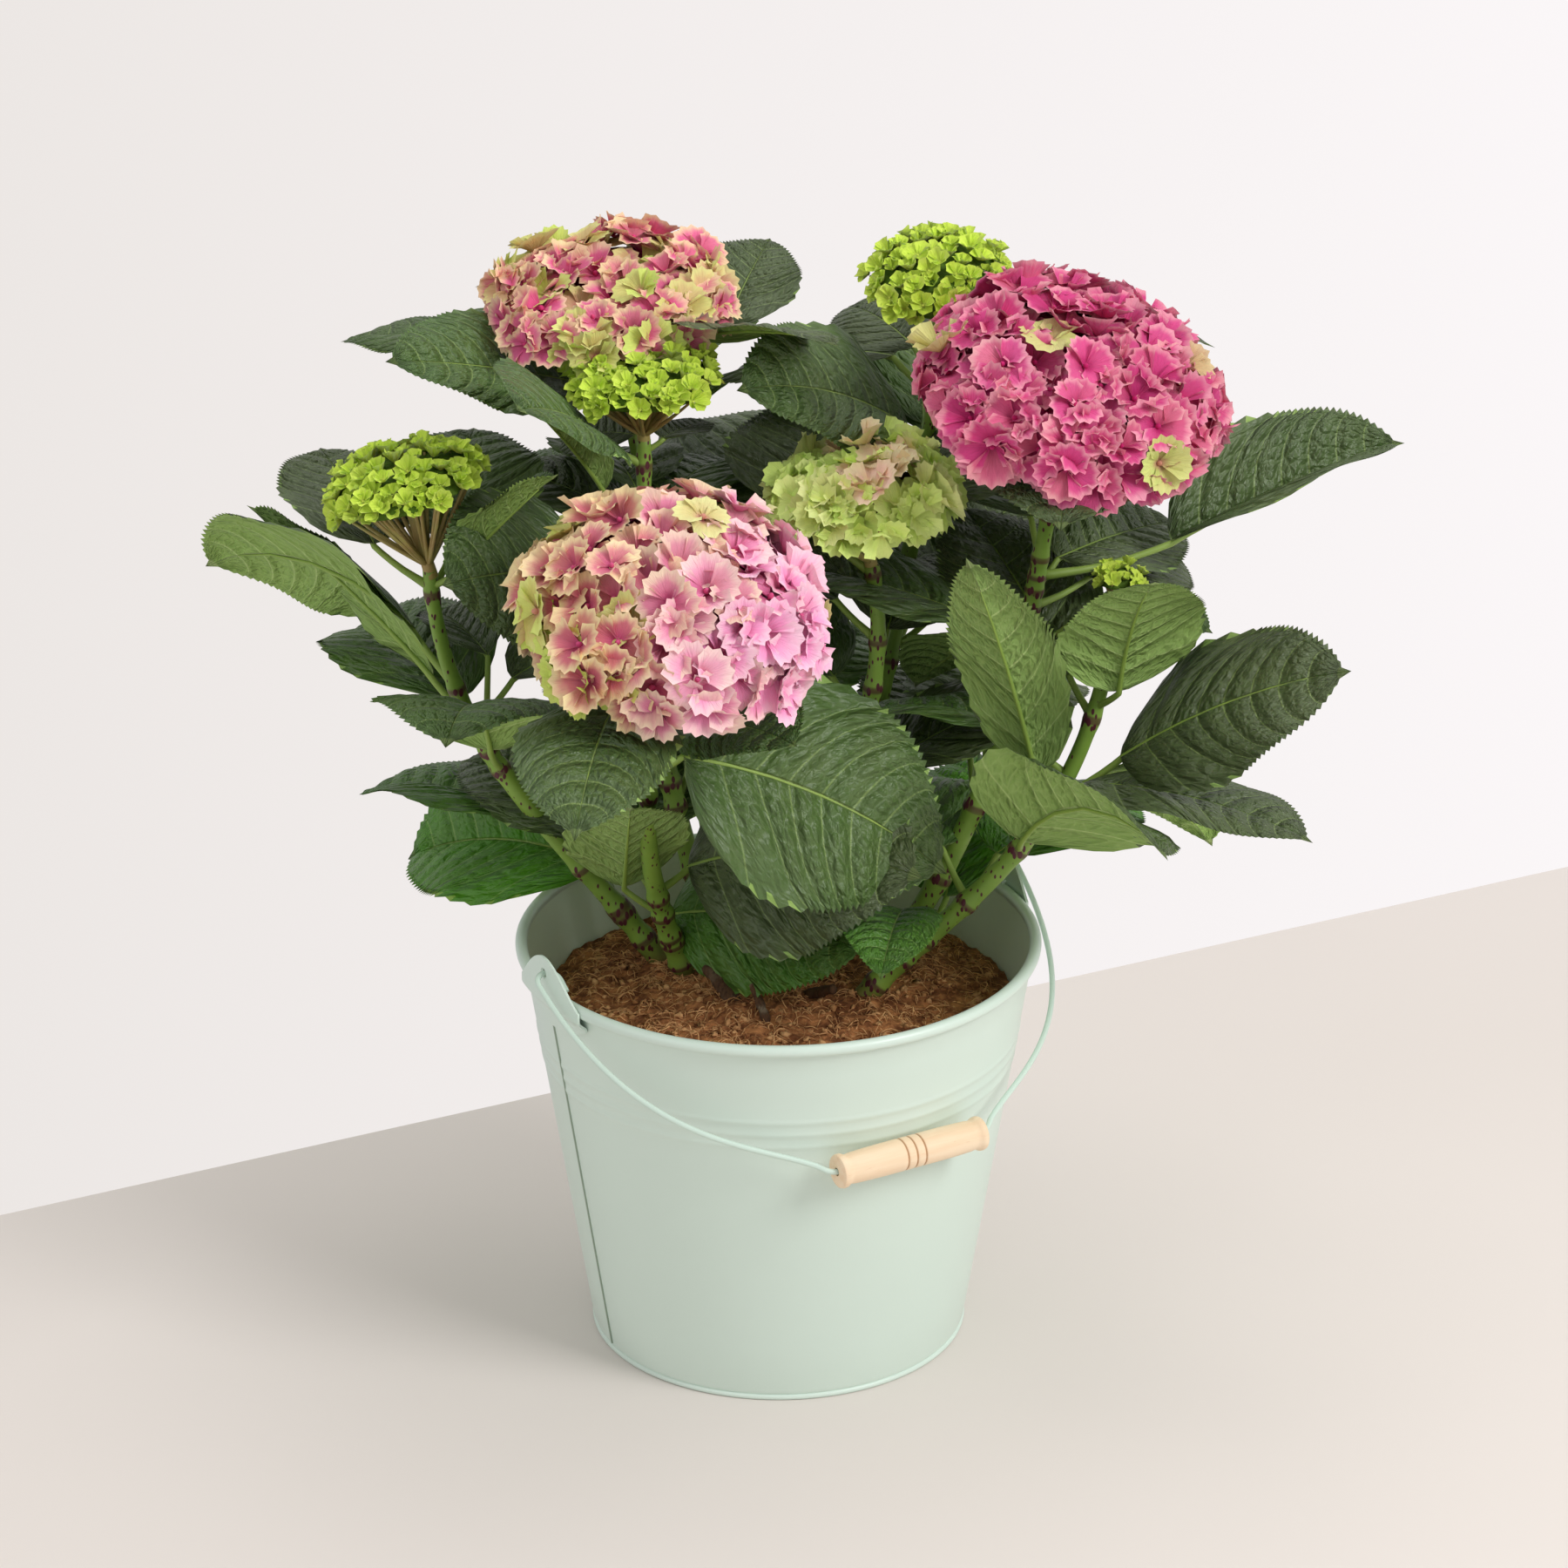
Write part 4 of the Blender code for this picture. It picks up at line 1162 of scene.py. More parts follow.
# ---- soil
@dataclass
class Soil:
    """The potting soil: a crumbly mound with fibres and chips on it, and old cut-back stubs."""

    pail: Pail
    edge: float = 0.172
    crown: float = 0.185
    reach: float = 0.118
    clear: float = 0.0006
    floor: float = 0.0016
    rings: int = 84
    sides: int = 220
    fibres: int = 2600
    crumbs: int = 900
    stubs: tuple[tuple[Point, Point, Point, float, float], ...] = (
        ((-0.016, -0.030, 0.178), (-0.028, -0.014, 0.190), (-0.036, -0.004, 0.194), 0.0045, 0.2),
        ((-0.004, -0.046, 0.178), (-0.008, -0.037, 0.189), (-0.013, -0.030, 0.197), 0.0028, 1.0),
        ((-0.002, -0.018, 0.178), (-0.006, -0.007, 0.193), (-0.009, 0.002, 0.204), 0.0032, 0.7),
        ((0.008, -0.010, 0.178), (0.017, -0.018, 0.187), (0.027, -0.027, 0.193), 0.0038, 0.0))

    def height(self, x: float, y: float) -> float:
        """Height of the soil's surface over a point.

        Args:
            x: The point's place along X.
            y: The point's place along Y.

        Returns:
            The height, with its lumps and crumbs.
        """
        share = min(1.0, math.hypot(x, y) / self.reach)
        base = self.crown + (self.edge - self.crown) * share ** 2
        lump = noise.fractal(Vector((x, y, 0.3)) * 28, 1.0, 2.2, 3) * 0.0032
        crumb = noise.fractal(Vector((x, y, 0.9)) * 150, 0.8, 2.1, 3) * 0.0013
        return base + lump + crumb

    def build(self, peat: Material, fibre: Material, bark: Material) -> None:
        """Model the mound, its loose bits and the stubs.

        Args:
            peat: The mound's finish.
            fibre: The finish of the loose bits.
            bark: The stubs' finish.
        """
        self.mound(peat)
        self.litter(fibre, random.Random(5))
        self.old_wood(bark)

    def mound(self, peat: Material) -> None:
        """Model the mound, down to the pail's floor.

        Args:
            peat: Its finish.
        """
        radii = np.linspace(0, 1, self.rings + 1)[1:]
        angles = np.arange(self.sides) * math.tau / self.sides
        points = [(0.0, 0.0, self.height(0, 0))]
        for share in radii:
            for a in angles:
                x, y = math.cos(a), math.sin(a)
                z = self.height(self.reach * share * x, self.reach * share * y)
                radius = (self.pail.wall(z) - self.pail.sheet - self.clear) * share
                points.append((radius * x, radius * y, z))
        low = self.pail.wall(self.floor + 0.0002) - self.pail.sheet - self.clear
        points += [(low * math.cos(a), low * math.sin(a), self.floor) for a in angles]
        points.append((0, 0, self.floor))
        quads, tris = closed_faces(self.rings + 1, self.sides, 1, 0, len(points) - 1)
        points = np.array(points)
        spots = points[:, :2] / (2 * self.pail.rim_radius) + 0.5
        spots[-self.sides - 1:] *= 0.02
        sheaf = Sheaf()
        sheaf.add(Shape(points, [(quads[:, [0, 3, 2, 1]], tris[:, [0, 2, 1]], spots)]), tint=0.0)
        hand_over(sheaf.build("soil_mound", peat), "pot", "soil", "soil")

    def litter(self, fibre: Material, rng: random.Random) -> None:
        """Scatter curled fibres and crumbs over the mound.

        Args:
            fibre: Their finish.
            rng: Where their scatter comes from.
        """
        sheaf = Sheaf()
        for _ in range(self.fibres):
            radius, a = 0.114 * math.sqrt(rng.random()), rng.uniform(0, math.tau)
            x, y = radius * math.cos(a), radius * math.sin(a)
            length, heading = rng.uniform(0.004, 0.016), rng.uniform(0, math.tau)
            bend, lift = rng.uniform(-2.2, 2.2), rng.uniform(0.0, 0.003)
            steps = 6
            path = []
            for i in range(steps):
                turn = heading + bend * i / steps
                x += math.cos(turn) * length / steps
                y += math.sin(turn) * length / steps
                if math.hypot(x, y) > 0.116:
                    x, y = x * 0.97, y * 0.97
                arch = math.sin(math.pi * i / (steps - 1)) * lift
                path.append((x, y, self.height(x, y) + 0.0002 + arch))
            thick = rng.uniform(0.00012, 0.00034)
            radii = np.full(steps, thick)
            radii[[0, -1]] *= 0.5
            sheaf.add(tube(np.array(path), radii, 3), tint=rng.uniform(0, 1) ** 1.5)
        for _ in range(self.crumbs):
            radius, a = 0.113 * math.sqrt(rng.random()), rng.uniform(0, math.tau)
            x, y = radius * math.cos(a), radius * math.sin(a)
            size = rng.uniform(0.0007, 0.0024)
            z = self.height(x, y) + size * 0.2
            spine = [direction(rng.uniform(0, 360), rng.uniform(-20, 20)) * size * s
                     for s in (-1, -0.5, 0.4, 1)]
            path = np.array([(x, y, z)]) + np.array(spine)
            path += np.array([[rng.uniform(-1, 1) * size * 0.3 for _ in range(3)] for _ in path])
            radii = np.array([0.25, 0.7, 0.8, 0.3]) * size
            sheaf.add(tube(path, radii, 5), tint=rng.uniform(0, 0.7) ** 2)
        hand_over(sheaf.build("soil_litter", fibre), "pot", "soil")

    def old_wood(self, bark: Material) -> None:
        """Model the dead stubs, ridged and cut off.

        Args:
            bark: Their finish.
        """
        sides = 18
        for number, (low, middle, high, thick, grey) in enumerate(self.stubs):
            corners = (low, tuple((a + 2 * b) / 3 for a, b in zip(low, middle)),
                       tuple((c + 2 * b) / 3 for c, b in zip(high, middle)), high)
            t = np.linspace(0, 1, 16)
            path = bezier(corners, t)
            radii = thick * (1 - 0.42 * t) * (1 + 0.12 * np.sin(t * 23 + number))
            limb = tube(path, radii, sides)
            points = limb.points
            ridge = np.array([noise.noise(Vector((p[0], p[1], p[2] * 0.35)) * 520)
                              for p in points])
            centre = np.repeat(path, sides, axis=0)
            bark_out = points[:-2] - centre
            points[:-2] = centre + bark_out * (1 + 0.22 * ridge[:-2, None])
            sheaf = Sheaf()
            sheaf.add(limb, tint=grey)
            hand_over(sheaf.build("old_wood_%d" % (number + 1), bark), "pot", "old_wood",
                      "stub_%d" % (number + 1))


# ---- growth
@dataclass(frozen=True)
class Leaf:
    """One leaf: where it stands on its shoot, how it is held, and its size.

    The blade turns against its stalk, starts at a rise, droops over its length and rolls about
    its midrib, all in degrees. Slim is its width over its length.
    """

    at: float
    heading: float
    turn: float
    rise: float
    droop: float
    roll: float
    length: float
    slim: float = 0.70
    fold: float = 10
    stalk: float = 0.030
    stalk_rise: float = 40


@dataclass(frozen=True)
class Shoot:
    """One shoot: its Bezier path, where its cane ends, and the leaves on it."""

    path: tuple[Point, Point, Point, Point]
    split: float
    fill: int
    fill_heading: float
    leaves: tuple[Leaf, ...]


class Bloom(Enum):
    """How far a flower head has come."""

    FULL = "full"
    OPENING = "opening"
    GREEN = "green"


@dataclass(frozen=True)
class Head:
    """One flower head: a dome of florets on the tip of a shoot.

    The centre is the middle of the dome's widest ring, and reach is how far down its florets
    go, in degrees from the top.
    """

    centre: Point
    radius: float
    height: float
    reach: float
    florets: int
    floret: float
    bloom: Bloom


SHOOTS: dict[str, Shoot] = {
    "left": Shoot(
        ((-0.058, 0.033, 0.178), (-0.102, 0.031, 0.249), (-0.164, 0.018, 0.294),
         (-0.168, 0.006, 0.401)), 0.08, 2, 40, (
        Leaf(0.14, 121, 21, 7, 40, -40, 0.135, 0.74, 26, 0.028),
        Leaf(0.57, 262, 0, 63, 75, 0, 0.125, 0.78),
        Leaf(0.63, 84, 28, 6, 20, -10, 0.075, 0.67, 35, 0.045, 75),
        Leaf(0.69, 146, -3, 36, 15, 60, 0.130, 0.42),
        Leaf(0.77, 137, 6, 32, 60, 52, 0.140, 0.63, 3, 0.036),
        Leaf(0.97, 180, -72, 12, 10, 0, 0.105, 0.67, 15, 0.035),
        Leaf(0.96, 63, 25, 20, 20, 0, 0.110, 0.73),
        Leaf(0.97, 330, -9, 47, 5, 0, 0.095, 0.36, 45, 0.014),
    )),
    "front": Shoot(
        ((-0.046, 0.017, 0.178), (-0.060, 0.009, 0.223), (-0.075, -0.028, 0.280),
         (-0.050, -0.075, 0.373)), 0.16, 2, 20, (
        Leaf(0.91, 215, 47, 13, 40, 0, 0.125, 0.62, 6),
        Leaf(0.85, 356, -50, 22, 20, 20, 0.085, 0.71, 12, 0.022),
        Leaf(0.79, 306, 66, -14, 30, 60, 0.146, 0.77, 4, 0.032, 31),
        Leaf(0.37, 38, -72, 30, 35, 55, 0.137, 0.78, 4, 0.021, 25),
        Leaf(0.19, 89, -131, 24, 30, 60, 0.127, 0.62, 4, 0.018, 11),
        Leaf(0.28, 186, 89, 53, 10, 0, 0.095, 0.68, 20, 0.025),
    )),
    "right": Shoot(
        ((0.039, -0.012, 0.178), (0.083, -0.011, 0.232), (0.151, -0.014, 0.262),
         (0.162, -0.010, 0.387)), 0.18, 2, 60, (
        Leaf(0.23, 73, 7, 23, 15, -5, 0.115, 0.68, 10, 0.038, 10),
        Leaf(0.26, 198, 64, 18, 30, 0, 0.085, 0.59, 20, 0.022),
        Leaf(0.53, 274, 31, 55, 75, -40, 0.125, 0.84, 12, 0.015),
        Leaf(0.68, 221, 5, 73, 10, 25, 0.135, 0.42, 15, 0.020),
        Leaf(0.83, 122, -7, 30, 15, 0, 0.125, 0.64, 12, 0.025),
        Leaf(0.85, 310, -27, 73, 35, 0, 0.095, 0.76, 8, 0.020),
        Leaf(0.66, 344, -15, 41, 20, 42, 0.135, 0.62, 4, 0.042),
        Leaf(0.64, 346, 56, -11, 40, -30, 0.110, 0.68, 25, 0.020),
    )),
    "tall_right": Shoot(
        ((0.050, 0.022, 0.178), (0.125, 0.016, 0.300), (0.117, 0.027, 0.360),
         (0.134, 0.012, 0.448)), 0.26, 3, 80, (
        Leaf(0.78, 18, 7, 20, 12, 15, 0.130, 0.65, 45, 0.070, 8),
        Leaf(0.97, 57, -152, 35, 55, 0, 0.111, 0.86, 10, 0.015, 14),
        Leaf(0.75, 40, 12, -1, 10, 20, 0.100, 0.70, 12, 0.020),
        Leaf(0.71, 32, 25, -6, 10, 25, 0.090, 0.72, 12, 0.035, 15),
        Leaf(0.91, 163, -47, 3, 10, -30, 0.090, 0.72, 12, 0.022),
        Leaf(0.58, 174, -53, -25, 20, 20, 0.080, 0.62, 20, 0.020),
    )),
    "middle": Shoot(
        ((0.012, 0.022, 0.178), (0.023, 0.016, 0.267), (0.060, 0.025, 0.325),
         (0.045, 0.022, 0.397)), 0.24, 3, 35, (
        Leaf(0.98, 166, -84, 15, 10, 0, 0.105, 0.81, 12, 0.050),
        Leaf(0.83, 76, -13, 3, 10, 0, 0.085, 0.71, 12, 0.014),
    )),
    "mid_left": Shoot(
        ((-0.028, 0.040, 0.178), (-0.063, 0.042, 0.285), (-0.066, 0.045, 0.341),
         (-0.065, 0.038, 0.456)), 0.26, 3, 110, (
        Leaf(0.70, 214, 13, 25, 20, -50, 0.105, 0.90, 4, 0.035),
        Leaf(0.96, 206, 42, 36, 20, -30, 0.100, 0.80),
        Leaf(0.97, 114, 18, -8, 20, -30, 0.058, 0.62, 12, 0.014),
        Leaf(0.98, 1, 58, 0, 10, 0, 0.040, 0.70, 12, 0.012),
        Leaf(0.87, 183, 58, 49, 10, 0, 0.085, 0.35, 45, 0.025),
    )),
    "back_left": Shoot(
        ((-0.030, 0.068, 0.178), (-0.032, 0.088, 0.260), (-0.068, 0.101, 0.409),
         (-0.080, 0.095, 0.489)), 0.20, 5, 60, (
        Leaf(0.95, 183, -38, -3, 15, -4, 0.110, 0.45, 8, 0.052, 12),
        Leaf(0.84, 188, 30, 23, 10, -30, 0.118, 0.59, 14),
        Leaf(0.94, 25, 49, 20, 10, 10, 0.080, 0.69, 15, 0.058, 12),
        Leaf(0.92, 343, -26, 26, 25, -18, 0.115, 0.61, 8),
    )),
    "back_right": Shoot(
        ((0.028, 0.066, 0.178), (0.041, 0.085, 0.266), (0.077, 0.107, 0.397),
         (0.079, 0.105, 0.497)), 0.20, 5, 20, (
        Leaf(0.78, 245, -28, 40, 35, -38, 0.110, 0.75, 14),
        Leaf(0.89, 130, -17, 8, 20, -20, 0.080, 0.75, 12, 0.020),
    )),
}

HEADS: dict[str, Head] = {
    "left": Head((-0.179, 0.005, 0.443), 0.041, 0.019, 94, 90, 0.0080, Bloom.GREEN),
    "front": Head((-0.050, -0.086, 0.412), 0.075, 0.055, 108, 112, 0.0172, Bloom.FULL),
    "right": Head((0.163, -0.010, 0.401), 0.014, 0.010, 90, 16, 0.0055, Bloom.GREEN),
    "tall_right": Head((0.138, 0.000, 0.492), 0.076, 0.044, 102, 122, 0.0165, Bloom.FULL),
    "middle": Head((0.041, 0.020, 0.429), 0.048, 0.032, 98, 60, 0.0162, Bloom.OPENING),
    "mid_left": Head((-0.066, 0.035, 0.486), 0.039, 0.017, 92, 84, 0.0080, Bloom.GREEN),
    "back_left": Head((-0.081, 0.090, 0.510), 0.063, 0.020, 96, 74, 0.0155, Bloom.FULL),
    "back_right": Head((0.079, 0.100, 0.515), 0.038, 0.021, 94, 84, 0.0080, Bloom.GREEN),
}

# The petal slots of the heads that aren't lime.
PETAL_SLOTS = {"front": "salmon_petal", "middle": "salmon_petal", "tall_right": "pink_petal",
               "back_left": "pink_petal"}

# A leaf by rule that would head between these is turned to the far side of its shoot instead, so
# that the near side is left to the named leaves.
NEAR_SIDE = (195, 315)


def half_width(s: Array) -> Array:
    """How wide a blade is along its length.

    Args:
        s: Places along the blade, from 0 to 1.

    Returns:
        Its width there, as a share of its greatest width.
    """
    rise, fall = 0.62, 0.75
    peak = rise / (rise + fall)
    s = np.clip(s, 0, 1)
    return s ** rise * (1 - s) ** fall / (peak ** rise * (1 - peak) ** fall)


@dataclass
class Foliage:
    """Every shoot's stem, leaf stalks and leaves, grown from its path."""

    foot_thick: float = 0.0056
    tip_thick: float = 0.0034
    blade: float = 0.00045
    rows_per_vein: int = 6
    across: tuple[float, ...] = (0.03, 0.20, 0.40, 0.60, 0.78, 0.92, 1.0)
    skew: float = 0.46
    tooth: float = 0.0015
    fresh_below: float = 0.235
    seed: int = 11
    # Draws passed over before the first pair by rule, which choose the scatter as the seed does.
    draws_before: int = 324
    leaves: dict[str, list[Leaf]] = field(default_factory=dict)

    def plan(self, barriers: list[BVHTree]) -> None:
        """Settle every leaf: the named ones, then pairs by rule where they find room.

        Args:
            barriers: Trees of what a leaf must stay clear of.
        """
        rng = random.Random(self.seed)
        for _ in range(self.draws_before):
            rng.random()
        taken = list(barriers)
        for name, shoot in SHOOTS.items():
            self.leaves[name] = list(shoot.leaves)
            taken += [self.outline(shoot, leaf) for leaf in shoot.leaves]
        for name, shoot in SHOOTS.items():
            for leaf in self.pairs(shoot, rng):
                kept = self.find_room(shoot, leaf, taken)
                if kept is None:
                    log.info("no room for a leaf of %s at %.2f", name, leaf.at)
                    continue
                self.leaves[name].append(kept)
                taken.append(self.outline(shoot, kept))

    @staticmethod
    def pairs(shoot: Shoot, rng: random.Random) -> Iterable[Leaf]:
        """Pairs of leaves, each pair at a right angle to the pair below it.

        Args:
            shoot: The shoot that bears them.
            rng: The source of the scatter, drawn from in a fixed order.

        Yields:
            The leaves of each pair in turn, opposite each other but where one is turned away.
        """
        for pair in range(shoot.fill):
            at = shoot.split + 0.08 + (0.88 - shoot.split) * (pair + 0.3) / shoot.fill
            for side in (0, 180):
                heading = shoot.fill_heading + 90 * pair + side + rng.uniform(-14, 14)
                if NEAR_SIDE[0] < heading % 360 < NEAR_SIDE[1]:
                    heading = -heading
                yield Leaf(at, heading, rng.uniform(-10, 10), rng.uniform(10, 32),
                           rng.uniform(20, 50), rng.uniform(-15, 15),
                           rng.uniform(0.095, 0.125), 0.72, rng.uniform(6, 18),
                           rng.uniform(0.024, 0.036))

    def find_room(self, shoot: Shoot, leaf: Leaf, taken: list[BVHTree]) -> Leaf | None:
        """Nudge a leaf until it touches nothing.

        Args:
            shoot: The leaf's shoot.
            leaf: The leaf.
            taken: Trees of what it must not touch.

        Returns:
            The leaf as it found room, or None.
        """
        nudges = ((0, 0), (7, 0), (-7, 0), (0, 9), (0, -9), (14, 0), (-14, 0), (9, 15), (9, -15),
                  (-9, 15), (-9, -15), (20, 0), (-20, 0), (0, 24), (0, -24))
        for share, lower in itertools.product((1.0, 0.86, 0.72), (0.0, 0.06, 0.12)):
            for more_rise, more_turn in nudges:
                tried = Leaf(**{**leaf.__dict__, "rise": leaf.rise + more_rise,
                                "heading": leaf.heading + more_turn,
                                "length": leaf.length * share,
                                "at": max(leaf.at - lower, shoot.split + 0.03)})
                tree = self.outline(shoot, tried)
                if not any(tree.overlap(other) for other in taken):
                    return tried
        return None

    @staticmethod
    def frame(shoot: Shoot, leaf: Leaf, s: Array) -> tuple[Array, ...]:
        """The blade's midrib and its own directions at places along it.

        Args:
            shoot: The leaf's shoot.
            leaf: The leaf.
            s: Places along the blade, from 0 to 1.

        Returns:
            Points on the midrib, and the unit vectors ahead, across and up from it.
        """
        root = bezier(shoot.path, leaf.at)
        base = root + direction(leaf.heading, leaf.stalk_rise) * leaf.stalk
        facing = leaf.heading + leaf.turn
        steps = np.linspace(0, 1, 65)
        ahead = direction(facing, leaf.rise - leaf.droop * (steps[:-1] + 0.008))
        spine = base + np.concatenate([np.zeros((1, 3)), np.cumsum(ahead, 0)]) * leaf.length / 64
        centre = np.stack([np.interp(s, steps, spine[:, k]) for k in range(3)], -1)
        ahead = direction(facing, leaf.rise - leaf.droop * s)
        side = np.broadcast_to(direction(facing + 90, 0), ahead.shape)
        up = np.cross(ahead, side)
        roll = math.radians(leaf.roll)
        across = side * math.cos(roll) + up * math.sin(roll)
        return centre, ahead, across, up * math.cos(roll) - side * math.sin(roll)

    def outline(self, shoot: Shoot, leaf: Leaf) -> BVHTree:
        """A coarse form of a leaf's blade and stalk, to test for room.

        Args:
            shoot: The leaf's shoot.
            leaf: The leaf.

        Returns:
            The tree of its faces.
        """
        s = np.linspace(0.02, 0.98, 9)
        centre, _, across, normal = self.frame(shoot, leaf, s)
        reach = (leaf.length * leaf.slim / 2 * half_width(s))[:, None]
        fold = math.radians(leaf.fold)
        lift = normal * math.sin(fold)
        left = centre + (lift - across * math.cos(fold)) * reach
        right = centre + (lift + across * math.cos(fold)) * reach
        points = np.concatenate([left, centre, right])
        faces = []
        for k in range(8):
            faces += [(k, 9 + k, 10 + k, k + 1), (9 + k, 18 + k, 19 + k, 10 + k)]
        root = bezier(shoot.path, leaf.at)
        root = root + (centre[0] - root) * 0.35
        side = across[0] * 0.0018
        faces.append((27, 28, 9))
        points = np.concatenate([points, [root - side, root + side]])
        return BVHTree.FromPolygons([tuple(p) for p in points], faces)

    def blade_shape(self, shoot: Shoot, leaf: Leaf, rng: random.Random) -> Shape:
        """A leaf's blade: toothed, folded, waved at its margin and quilted between its veins.

        Args:
            shoot: The leaf's shoot.
            leaf: The leaf.
            rng: The source of its scatter.

        Returns:
            The blade, as a thin closed sheet.
        """
        rows = VEINS * self.rows_per_vein + 1
        u = np.linspace(0, 1, rows)
        w = np.array([-x for x in reversed(self.across)] + [0.0] + list(self.across))
        base_s, w = np.meshgrid(0.004 + 0.98 * u, w, indexing="ij")
        away = np.abs(w)
        arch = self.skew * (0.42 * away + 0.58 * away ** 2)
        s = base_s + arch * np.minimum(1, base_s / 0.24) * (1 - base_s)
        centre, ahead, across, normal = self.frame(shoot, leaf, s)
        half = leaf.length * leaf.slim / 2
        reach = half * half_width(s)
        fold = math.radians(leaf.fold)
        teeth = np.where(np.arange(rows) % 2 == 1, 1.0, -0.25)[:, None] * (away > 0.95)
        teeth = teeth * np.clip((s - 0.08) / 0.14, 0, 1) * np.clip((1.04 - s) / 0.14, 0, 1)
        teeth = teeth * self.tooth * (leaf.length / PLAIN_LEAF)
        out = w * reach + np.sign(w) * teeth
        side = np.sign(w)[..., None] * across
        wave = np.where(w < 0, rng.uniform(0, 6.28), rng.uniform(0, 6.28))
        uneven = 0.6 + 0.4 * np.sin(9.0 * s + 5.0 * w + wave)
        swing = rng.uniform(1.6, 2.4)
        lift = np.abs(out) * math.sin(fold)
        lift = lift + 0.020 * leaf.length * away ** 2 * np.sin(math.tau * swing * s + wave) \
            * half_width(s)
        lift = lift - 0.16 * reach * away ** 3
        lift = lift - leaf.length * 0.05 * np.clip(s - 0.8, 0, 1) ** 2 * 5
        bulge = (0.5 - 0.5 * np.cos(math.tau * VEINS * u))[:, None] ** 0.8
        quilt = leaf.length * 0.0120 * bulge * uneven * np.clip(away * 6, 0, 1) * (1 - away ** 4)
        groove = leaf.length * 0.0050 * (1 - np.clip(away / 0.2, 0, 1)) ** 2
        flat = centre + side * (np.abs(out) * math.cos(fold))[..., None] \
            + ahead * (np.abs(teeth) * 0.9)[..., None]
        top = flat + normal * (lift + quilt - groove)[..., None]
        ridge = (1 - bulge) ** 3 * 0.00022 * (away > 0.01) * (1 - away)
        under = flat + normal * (lift + quilt * 0.92 - groove * 0.4 - self.blade - ridge)[..., None]
        start = self.frame(shoot, leaf, np.array([0.0]))[0][0]
        ends = self.frame(shoot, leaf, np.array([1.0]))
        tip = ends[0][0] + ends[1][0] * 0.035 * leaf.length - ends[3][0] * 0.014 * leaf.length
        return skin(top, under, start, tip,
                    along=(np.broadcast_to(u[:, None], w.shape), np.array([0.0, 1.0])),
                    across=(w, np.zeros(2)))

    def stalk_shape(self, shoot: Shoot, leaf: Leaf) -> Shape:
        """A leaf's stalk, run on under the blade as its midrib.

        Args:
            shoot: The leaf's shoot.
            leaf: The leaf.

        Returns:
            The stalk.
        """
        root = bezier(shoot.path, leaf.at)
        s = np.array([0.0, 0.03, 0.08, 0.16, 0.30, 0.5, 0.7, 0.86])
        centre, ahead, _, normal = self.frame(shoot, leaf, s)
        radii = np.array([0.00165, 0.0015, 0.00135, 0.0012, 0.001, 0.0008, 0.0006, 0.0003])
        radii = radii * (0.6 + 0.4 * leaf.length / PLAIN_LEAF)
        drop = leaf.length * 0.002 + self.blade
        rib = centre - normal * (radii * 0.55 + drop)[:, None]
        out = direction(leaf.heading, leaf.stalk_rise)
        sag = np.array([0, 0, -0.05]) * leaf.stalk
        steps = np.array([0.0, 0.12, 0.3, 0.5, 0.7, 0.88])
        stalk = root + out * (leaf.stalk * steps)[:, None] + sag * np.sin(np.pi * steps)[:, None]
        stalk[3:] += (rib[0] - centre[0]) * np.array([0.3, 0.6, 0.9])[:, None]
        thick = np.array([0.0030, 0.0024, 0.0020, 0.0018, 0.0017, 0.00165])
        thick = thick * (0.7 + 0.3 * leaf.length / PLAIN_LEAF)
        return tube(np.concatenate([stalk, rib]), np.concatenate([thick, radii]), 8)

    def build(self, skins: tuple[Material, Material], cane: Material, stalk: Material) -> None:
        """Model every stem, stalk and leaf.

        Args:
            skins: The finishes of a blade's top and underside.
            cane: The stems' finish.
            stalk: The leaf stalks' finish.
        """
        rng = random.Random(23)
        stalks = Sheaf()
        for name, shoot in SHOOTS.items():
            sheaf = Sheaf()
            for leaf in self.leaves[name]:
                blade = self.blade_shape(shoot, leaf, rng)
                blade.two_faced = 1
                middle = blade.points[len(blade.points) // 4]
                dark = 0.06 + 0.94 * min(1, max(0, (middle[2] - self.fresh_below) / 0.05))
                sheaf.add(blade, tint=min(1, max(0, dark + rng.uniform(-0.35, 0.25))))
                stalks.add(self.stalk_shape(shoot, leaf), node=0.0, tint=0.0)
            hand_over(sheaf.build("foliage_" + name, *skins), "pot", "leaf", "leaves_" + name)
            self.stem(name, shoot, cane)
        hand_over(stalks.build("leaf_stalks", stalk), "pot", "green_stem")

